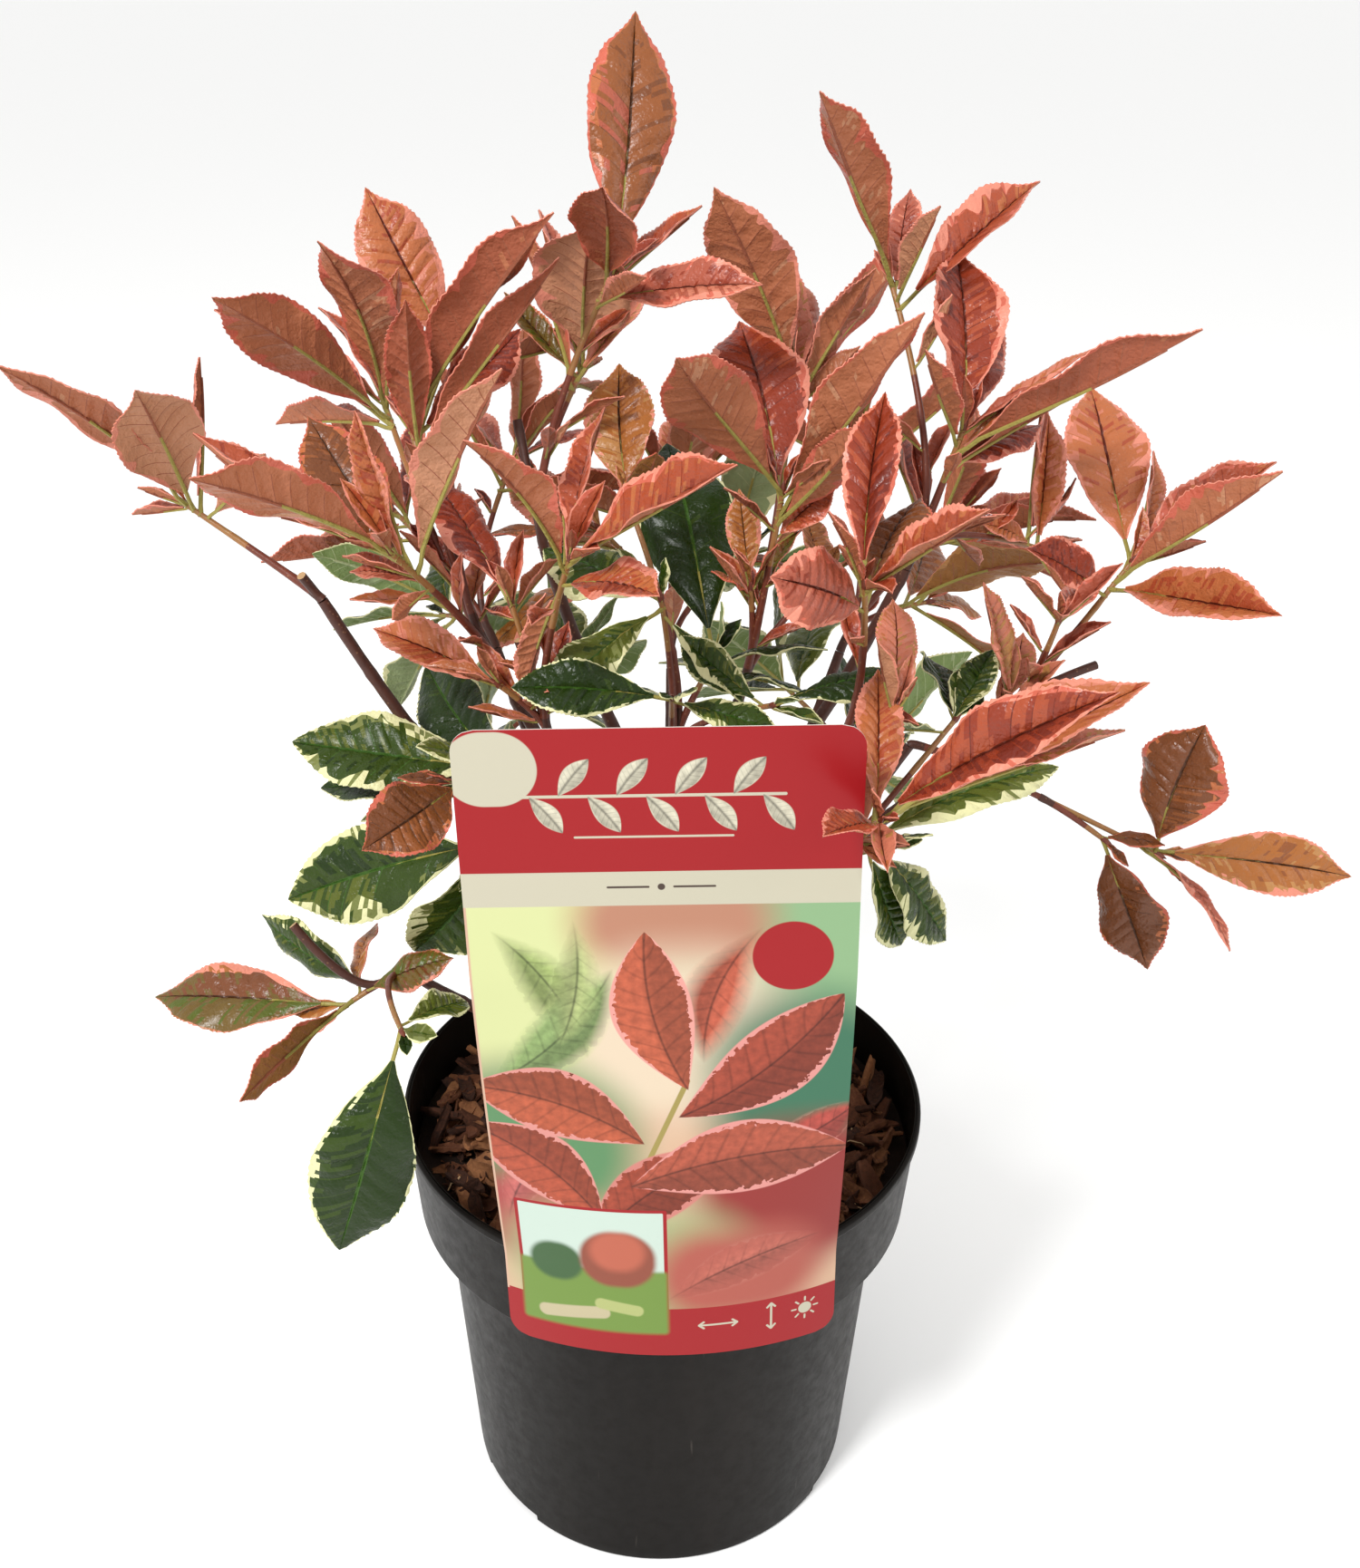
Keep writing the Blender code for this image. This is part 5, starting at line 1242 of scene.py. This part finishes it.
class LeafPattern:
    """Rows, columns, faces and zones that all leaves with the same number of side veins share."""

    def __init__(self, veins, between, blade_columns, patch_columns):
        rows, lift, veined = [0.0, 0.04], [0.0, 0.0], [False]
        for vein in range(veins):
            spot = 0.08 + 0.84 * vein / (veins - 1)
            rows += [spot - VEIN_HALF, spot + VEIN_HALF]
            lift += [-1.0, -1.0]
            veined += [False, True]
            if vein < veins - 1:
                for step in range(between):
                    share = (step + 1) / (between + 1)
                    rows.append(spot + 0.84 / (veins - 1) * share)
                    lift.append(math.sin(math.pi * share))
                    veined.append(False)
        rows += [0.955, 0.98, 1.0]
        lift += [0.0, 0.0, 0.0]
        veined += [False] * 3
        self.veins = veins
        self.rows = np.array(rows)
        self.lift = np.array(lift)
        self.half = 1 + blade_columns + patch_columns + 1
        self.blade_columns = blade_columns
        self.patch_columns = patch_columns
        zones = ["rib"] + ["blade"] * blade_columns + ["patch"] * patch_columns + ["margin"]
        zones = zones[::-1] + zones
        self.zones = []
        for strip in veined:
            self.zones += ["vein" if strip and zone == "blade" else zone for zone in zones]
        self.columns = 2 * self.half + 1
        self.faces = sheet_grid(len(rows), self.columns)
        self.rim = len(self.faces) - 2 * len(self.zones)

    def across(self, chance, look):
        """Share of the half width at each row and column, with wandering borders of the patch and the margin."""
        grid = np.zeros((len(self.rows), self.columns))
        for side in (-1, 1):
            knots = [chance.uniform(*look.inner) for _ in range(self.veins + 2)]
            patch = np.interp(self.rows * (self.veins + 1), range(self.veins + 2), knots)
            knots = [look.outer[1] - (look.outer[1] - look.outer[0]) * chance.random() ** 3
                     for _ in range(self.veins * 3 + 2)]
            margin = np.interp(self.rows * (self.veins * 3 + 1), range(self.veins * 3 + 2), knots)
            margin = 1 - (1 - margin) * chance.uniform(0.35, 2.0)
            patch = np.minimum(patch, margin - 0.04)
            rib = np.full_like(patch, 0.035)
            stops = [rib]
            for column in range(self.blade_columns):
                stops.append(rib + (patch - rib) * (column + 1) / self.blade_columns)
            for column in range(self.patch_columns):
                stops.append(patch + (margin - patch) * (column + 1) / self.patch_columns)
            stops.append(np.ones_like(patch))
            for column, stop in enumerate(stops):
                grid[:, self.half + side * (column + 1)] = side * stop
        return grid

    def strays(self, chance):
        """Uneven spacing of the side veins, another one on each side of the midrib."""
        grid = np.zeros((len(self.rows), self.columns))
        for side in (-1, 1):
            knots = [0.0] + [chance.uniform(-VEIN_STRAY, VEIN_STRAY) for _ in range(self.veins)] + [0.0]
            drift = np.interp(self.rows, np.linspace(0, 1, self.veins + 2), knots)
            for column in range(1, self.half + 1):
                grid[:, self.half + side * column] = drift * column / self.half
        return grid

    def puckers(self, chance):
        """How far each cell between two side veins bulges, in millimetres."""
        cells = np.clip((self.rows - 0.08) / 0.84 * (self.veins - 1), 0, self.veins - 1.001).astype(int)
        grid = np.zeros((len(self.rows), self.columns))
        for side in (slice(0, self.half + 1), slice(self.half + 1, self.columns)):
            bulges = np.array([chance.uniform(0.08, 0.5) for _ in range(self.veins)])
            grid[:, side] = bulges[cells][:, None]
        return grid

    def clouds(self, chance):
        """An uneven cloud over the faces: coarse patches with streaks along the side veins on them."""
        rows, columns = len(self.rows) - 1, self.columns - 1
        total = np.array([[chance.gauss(0, 0.2) for _ in range(columns)] for _ in range(rows)])
        for knots_along, knots_across, weight in ((5, 4, 0.55), (rows, 6, 0.75)):
            knots = np.array([[chance.gauss(0, weight) for _ in range(knots_across)] for _ in range(knots_along)])
            spots = np.linspace(0, knots_along - 1, rows)
            knots = np.array([np.interp(spots, range(knots_along), column) for column in knots.T]).T
            spots = np.linspace(0, knots_across - 1, columns)
            total += np.array([np.interp(spots, range(knots_across), row) for row in knots])
        return total


LARGE_LEAF = LeafPattern(10, 3, 4, 2)
SMALL_LEAF = LeafPattern(5, 1, 2, 1)


def compass(bearing, rise):
    """Unit vector from a bearing and a rise in degrees."""
    swing = math.radians(bearing)
    lift = math.radians(rise)
    return Vector((math.cos(swing) * math.cos(lift), math.sin(swing) * math.cos(lift), math.sin(lift)))


def leaned(way, turn, lift):
    """A direction turned about the upright and lifted, in degrees."""
    level = Vector((way.y, -way.x, 0)).normalized()
    lifted = Matrix.Rotation(math.radians(lift), 3, level) @ way
    return Matrix.Rotation(math.radians(turn), 3, "Z") @ lifted


def shoot_leaves(name, shoot, curve):
    """All leaves of a shoot as (root, direction, length, roll, width), the placed ones first."""
    axis = bow_direction(*curve, 1.0)
    chance = random.Random(name)
    leaves = []
    for order, plan in enumerate(shoot.leaves):
        leaf = Leaf(*plan)
        root = curve[2] - axis * LEAF_NODE_STEP * order
        leaves.append((root, compass(leaf.bearing, leaf.rise), leaf.length, leaf.roll, leaf.width))
    side = axis.orthogonal().normalized()
    over = axis.cross(side)
    start_angle = chance.uniform(0, math.tau)
    for order in range(shoot.fill):
        age = (order + 1) / (shoot.fill + 1)
        angle = start_angle + order * GOLDEN_ANGLE
        spread = math.radians(25 + 45 * age + chance.uniform(-6, 6))
        length = (46 + 34 * age) * chance.uniform(0.9, 1.1)
        way = axis * math.cos(spread) + (side * math.cos(angle) + over * math.sin(angle)) * math.sin(spread)
        down = LEAF_NODE_STEP * (order + 0.5 + 2 * len(shoot.leaves) * 0.4)
        leaves.append((curve[2] - axis * down, way.normalized(), length, 0, 1.0))
    return leaves, axis


def leaf_up(way, axis, roll):
    """The upper face looks to the shoot's axis and the sky, and is then rolled about the leaf's length."""
    skyward = axis + Vector((0, 0, 1))
    level = (skyward - way * skyward.dot(way)).normalized()
    return Matrix.Rotation(math.radians(roll), 3, way) @ level


def seated_heading(packed, root, way, length, roll, width, axis):
    """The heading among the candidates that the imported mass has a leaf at, or nothing where it was skipped."""
    for turn, lift in SEATS:
        heading = leaned(way, turn, lift)
        up = leaf_up(heading, axis, roll)
        sunk = width * LEAF_FOLD / 4
        spots = [root + heading * length * share + up * (length * LEAF_ARCH * math.sin(math.pi * share) - sunk)
                 for share in (0.42, 0.74)]
        spots.append(root + heading * length)
        if all(packed.find_nearest(spot)[3] < SEAT for spot in spots):
            return heading
    return None


def grow_leaf(heap, root, way, length, roll, width, kind, tint, axis, seed, pattern=LARGE_LEAF):
    """One closed leaf with its petiole and midrib, varied by its seed."""
    chance = random.Random(seed)
    up = leaf_up(way, axis, roll)
    side = way.cross(up)
    breadth = width / (length * WIDTH_RATIO[kind])
    fold = chance.uniform(0.6, 1.3) if kind == "young" and breadth < 1.04 else chance.uniform(0.16, 0.45)
    half = width * chance.uniform(0.97, 1.06) * (1 - 0.26 * fold * min(1.0, max(0.0, breadth - 0.6) / 0.4)) / 2
    arch = length * chance.uniform(0.035, 0.085)
    nod = length * chance.uniform(-0.02, 0.07)
    twist = math.radians(chance.uniform(-26, 26))
    sway = length * chance.uniform(-0.03, 0.03)
    curl = half * chance.uniform(-0.45, 0.15)
    look = LOOKS[tint]
    across = pattern.across(chance, look)
    reach = np.abs(across)
    rows = pattern.rows[:, None]
    along = rows + VEIN_SLANT * np.sin(np.pi * rows) ** 0.8 * reach * (1 - 0.25 * reach)
    along = np.clip(along + pattern.strays(chance) * np.sin(np.pi * rows), 0, 1)
    swell = np.sin(np.pi * along ** FULLEST[kind]).clip(0) ** 0.85
    swell = swell * (1 - POINTED[kind] * np.clip((along - 0.82) / 0.14, 0, 1))
    stalk = 0.7 * (1 - along) + 0.12
    spread = np.maximum(half * swell, stalk * min(1.0, length / 50))
    teeth = (np.arange(len(pattern.rows)) % 2) * TOOTH * min(1.0, length / 60)
    toothed = (reach > 0.999) * teeth[:, None] * np.sin(np.pi * rows) ** 0.5
    x = across * spread + np.sign(across) * toothed
    y = length * (PETIOLE_SHARE + (1 - PETIOLE_SHARE) * along) + toothed * 0.8
    share = y / length
    phase = chance.uniform(0, math.tau), chance.uniform(0, math.tau)
    waves = np.where(across < 0, np.sin(math.tau * 2.4 * along + phase[0]), np.sin(math.tau * 2.1 * along + phase[1]))
    body = np.sin(np.pi * along).clip(0)
    height = fold * (np.abs(x) * (1 - 0.22 * reach) - 0.45 * half * body)
    height = height + arch * np.sin(np.pi * share) - nod * share ** 3 * 1.2
    height = height + (waves * 0.15 * half + curl * reach) * reach ** 2 * body
    height = height + pattern.lift[:, None] * pattern.puckers(chance) * body * (1 - reach ** 3) * (reach > 0.01)
    height = height - 0.35 * (reach < 0.01)
    turned = twist * (share - 0.3)
    bent_x = x * np.cos(turned) - height * np.sin(turned) + sway * np.sin(np.pi * share)
    bent_h = x * np.sin(turned) + height * np.cos(turned)
    top = np.array(root) + bent_x[..., None] * np.array(side) + y[..., None] * np.array(way)
    top = (top + bent_h[..., None] * np.array(up)).reshape(-1, 3)
    clouds = pattern.clouds(chance)
    strips, strip_columns = clouds.shape
    # Each leaf's cloud runs lighter or darker along its length, and one half of the blade is dealt lighter tones and
    # the other darker on both faces: painted light and shade of the two folded halves.
    clouds = clouds + chance.uniform(-0.9, 0.9) * np.linspace(-1, 1, strips)[:, None]
    clouds = clouds + chance.uniform(-0.9, 0.9) * np.sign(np.linspace(-1, 1, strip_columns))
    marks, under_marks = [], []
    for face, (zone, cloud) in enumerate(zip(pattern.zones, clouds.ravel())):
        shown = getattr(look, zone)
        if zone == "blade":
            shown = look.dark if cloud < -0.95 else look.light if cloud > 1.25 else look.blade
        elif zone == "vein" and cloud < 0.35:
            shown = look.blade
        elif zone == "patch":
            shown = look.margin if cloud > 1.3 else look.blade if cloud < 0.2 else look.patch
        elif zone == "margin" and cloud < -1.2:
            shown = look.patch
        elif zone == "rib" and face < strip_columns * strips * 0.25:
            shown = "yellow_green_rib"
        marks.append(FOLIAGE_NAMES.index(shown))
        below = look.under_light if cloud > 1.7 else look.under
        if zone in ("rib", "vein"):
            below = look.under_vein
        elif zone == "margin":
            below = look.under_margin
        under_marks.append(FOLIAGE_NAMES.index(below))
    marks += under_marks + [FOLIAGE_NAMES.index(look.margin)] * pattern.rim
    heap.add(np.concatenate([top, top - np.array(up) * LEAF_SHEET]), pattern.faces, marks)
    middle = top.reshape(len(pattern.rows), pattern.columns, 3)[:, pattern.half]
    keep = [row for row in range(len(pattern.rows)) if pattern.rows[row] < 0.86][::2 if pattern is LARGE_LEAF else 1]
    path = [np.array(root) - np.array(way) * 0.8, np.array(root) + np.array(way) * length * PETIOLE_SHARE * 0.5]
    path += [middle[row] - np.array(up) * (LEAF_SHEET + 0.1) for row in keep]
    size = max(0.55, min(1.0, length / 60))
    radii = [1.15 * size, 0.85 * size] + [(0.85 - 0.6 * pattern.rows[row]) * size for row in keep]
    points, faces = tube(path, radii, 6)
    split = int(len(path) * 0.6) * 6
    stalk_mark, vein_mark = FOLIAGE_NAMES.index("yellow_green_rib"), FOLIAGE_NAMES.index(look.under_vein)
    heap.add(points, faces, [stalk_mark if face < split else vein_mark for face in range(len(faces))])


def tip_leaves(heap, name, shoot, curve, tints):
    """The small leaves that unfold round a growing tip, nearly upright."""
    axis = bow_direction(*curve, 1.0)
    side = axis.orthogonal().normalized()
    over = axis.cross(side)
    chance = random.Random(name + "tip")
    count = 3 if shoot.kind == "young" else 2
    start_angle = chance.uniform(0, math.tau)
    for order in range(count):
        angle = start_angle + order * GOLDEN_ANGLE
        spread = math.radians(14 + 12 * order + chance.uniform(-5, 5))
        way = axis * math.cos(spread) + (side * math.cos(angle) + over * math.sin(angle)) * math.sin(spread)
        length = 15 + 7 * order + chance.uniform(-2, 4)
        grow_leaf(heap, curve[2] - axis * order, way.normalized(), length, 0, length * WIDTH_RATIO[shoot.kind],
                  shoot.kind, tints[order % len(tints)], axis, f"{name}tip{order}", SMALL_LEAF)


def side_leaves(heap, name, shoot, curve, tints):
    """Small leaves in the axils down a young shoot, that point on along it."""
    chance = random.Random(name + "side")
    angle = chance.uniform(0, math.tau)
    for order in range(3):
        share = 0.3 + 0.22 * order + chance.uniform(-0.08, 0.08)
        axis = bow_direction(*curve, share)
        side = axis.orthogonal().normalized()
        angle += GOLDEN_ANGLE
        out = side * math.cos(angle) + axis.cross(side) * math.sin(angle)
        spread = math.radians(chance.uniform(32, 58))
        way = axis * math.cos(spread) + out * math.sin(spread)
        length = chance.uniform(17, 33)
        grow_leaf(heap, bow(*curve, share), way.normalized(), length, 0, length * WIDTH_RATIO[shoot.kind], shoot.kind,
                  tints[order % len(tints)], axis, f"{name}side{order}", SMALL_LEAF)


BARE_SHOOTS = ("far_left0", "right0")
for number, mass in enumerate(MASSES):
    packed_mesh = frame["nodes"][f"foliage_{mass.name}"].data
    packed = BVHTree.FromPolygons([vert.co / MM for vert in packed_mesh.vertices],
                                  [tuple(face.vertices) for face in packed_mesh.polygons])
    leader = shoot_curve(mass, mass.shoots[0], None)
    twigs, leaves = Heap(), Heap()
    for index, shoot in enumerate(mass.shoots):
        curve = shoot_curve(mass, shoot, leader)
        grow_twig(twigs, curve, shoot, index == 0, number + index * 0.61)
        if shoot.kind == "cut":
            continue
        name = f"{mass.name}{index}"
        plan, axis = shoot_leaves(name, shoot, curve)
        tints = SPRAY_TINTS.get(name, KIND_TINTS[shoot.kind])
        for order, (root, way, length, roll, share) in enumerate(plan):
            width = length * WIDTH_RATIO[shoot.kind] * share
            heading = seated_heading(packed, root, way, length, roll, width, axis)
            if heading:
                grow_leaf(leaves, root, heading, length, roll, width, shoot.kind, tints[order % len(tints)], axis,
                          f"{name}leaf{order}")
            else:
                print("no packed leaf", name, order)
        tip_leaves(leaves, name, shoot, curve, tints)
        if shoot.kind == "young" and name not in BARE_SHOOTS:
            side_leaves(leaves, name, shoot, curve, tints)
    for piece in (twigs.piece(f"twigs_{mass.name}", TWIG_FINISHES), leaves.piece(f"leaves_{mass.name}", FOLIAGE_FINISHES)):
        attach(piece, "root")
        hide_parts(f"foliage_{mass.name}")
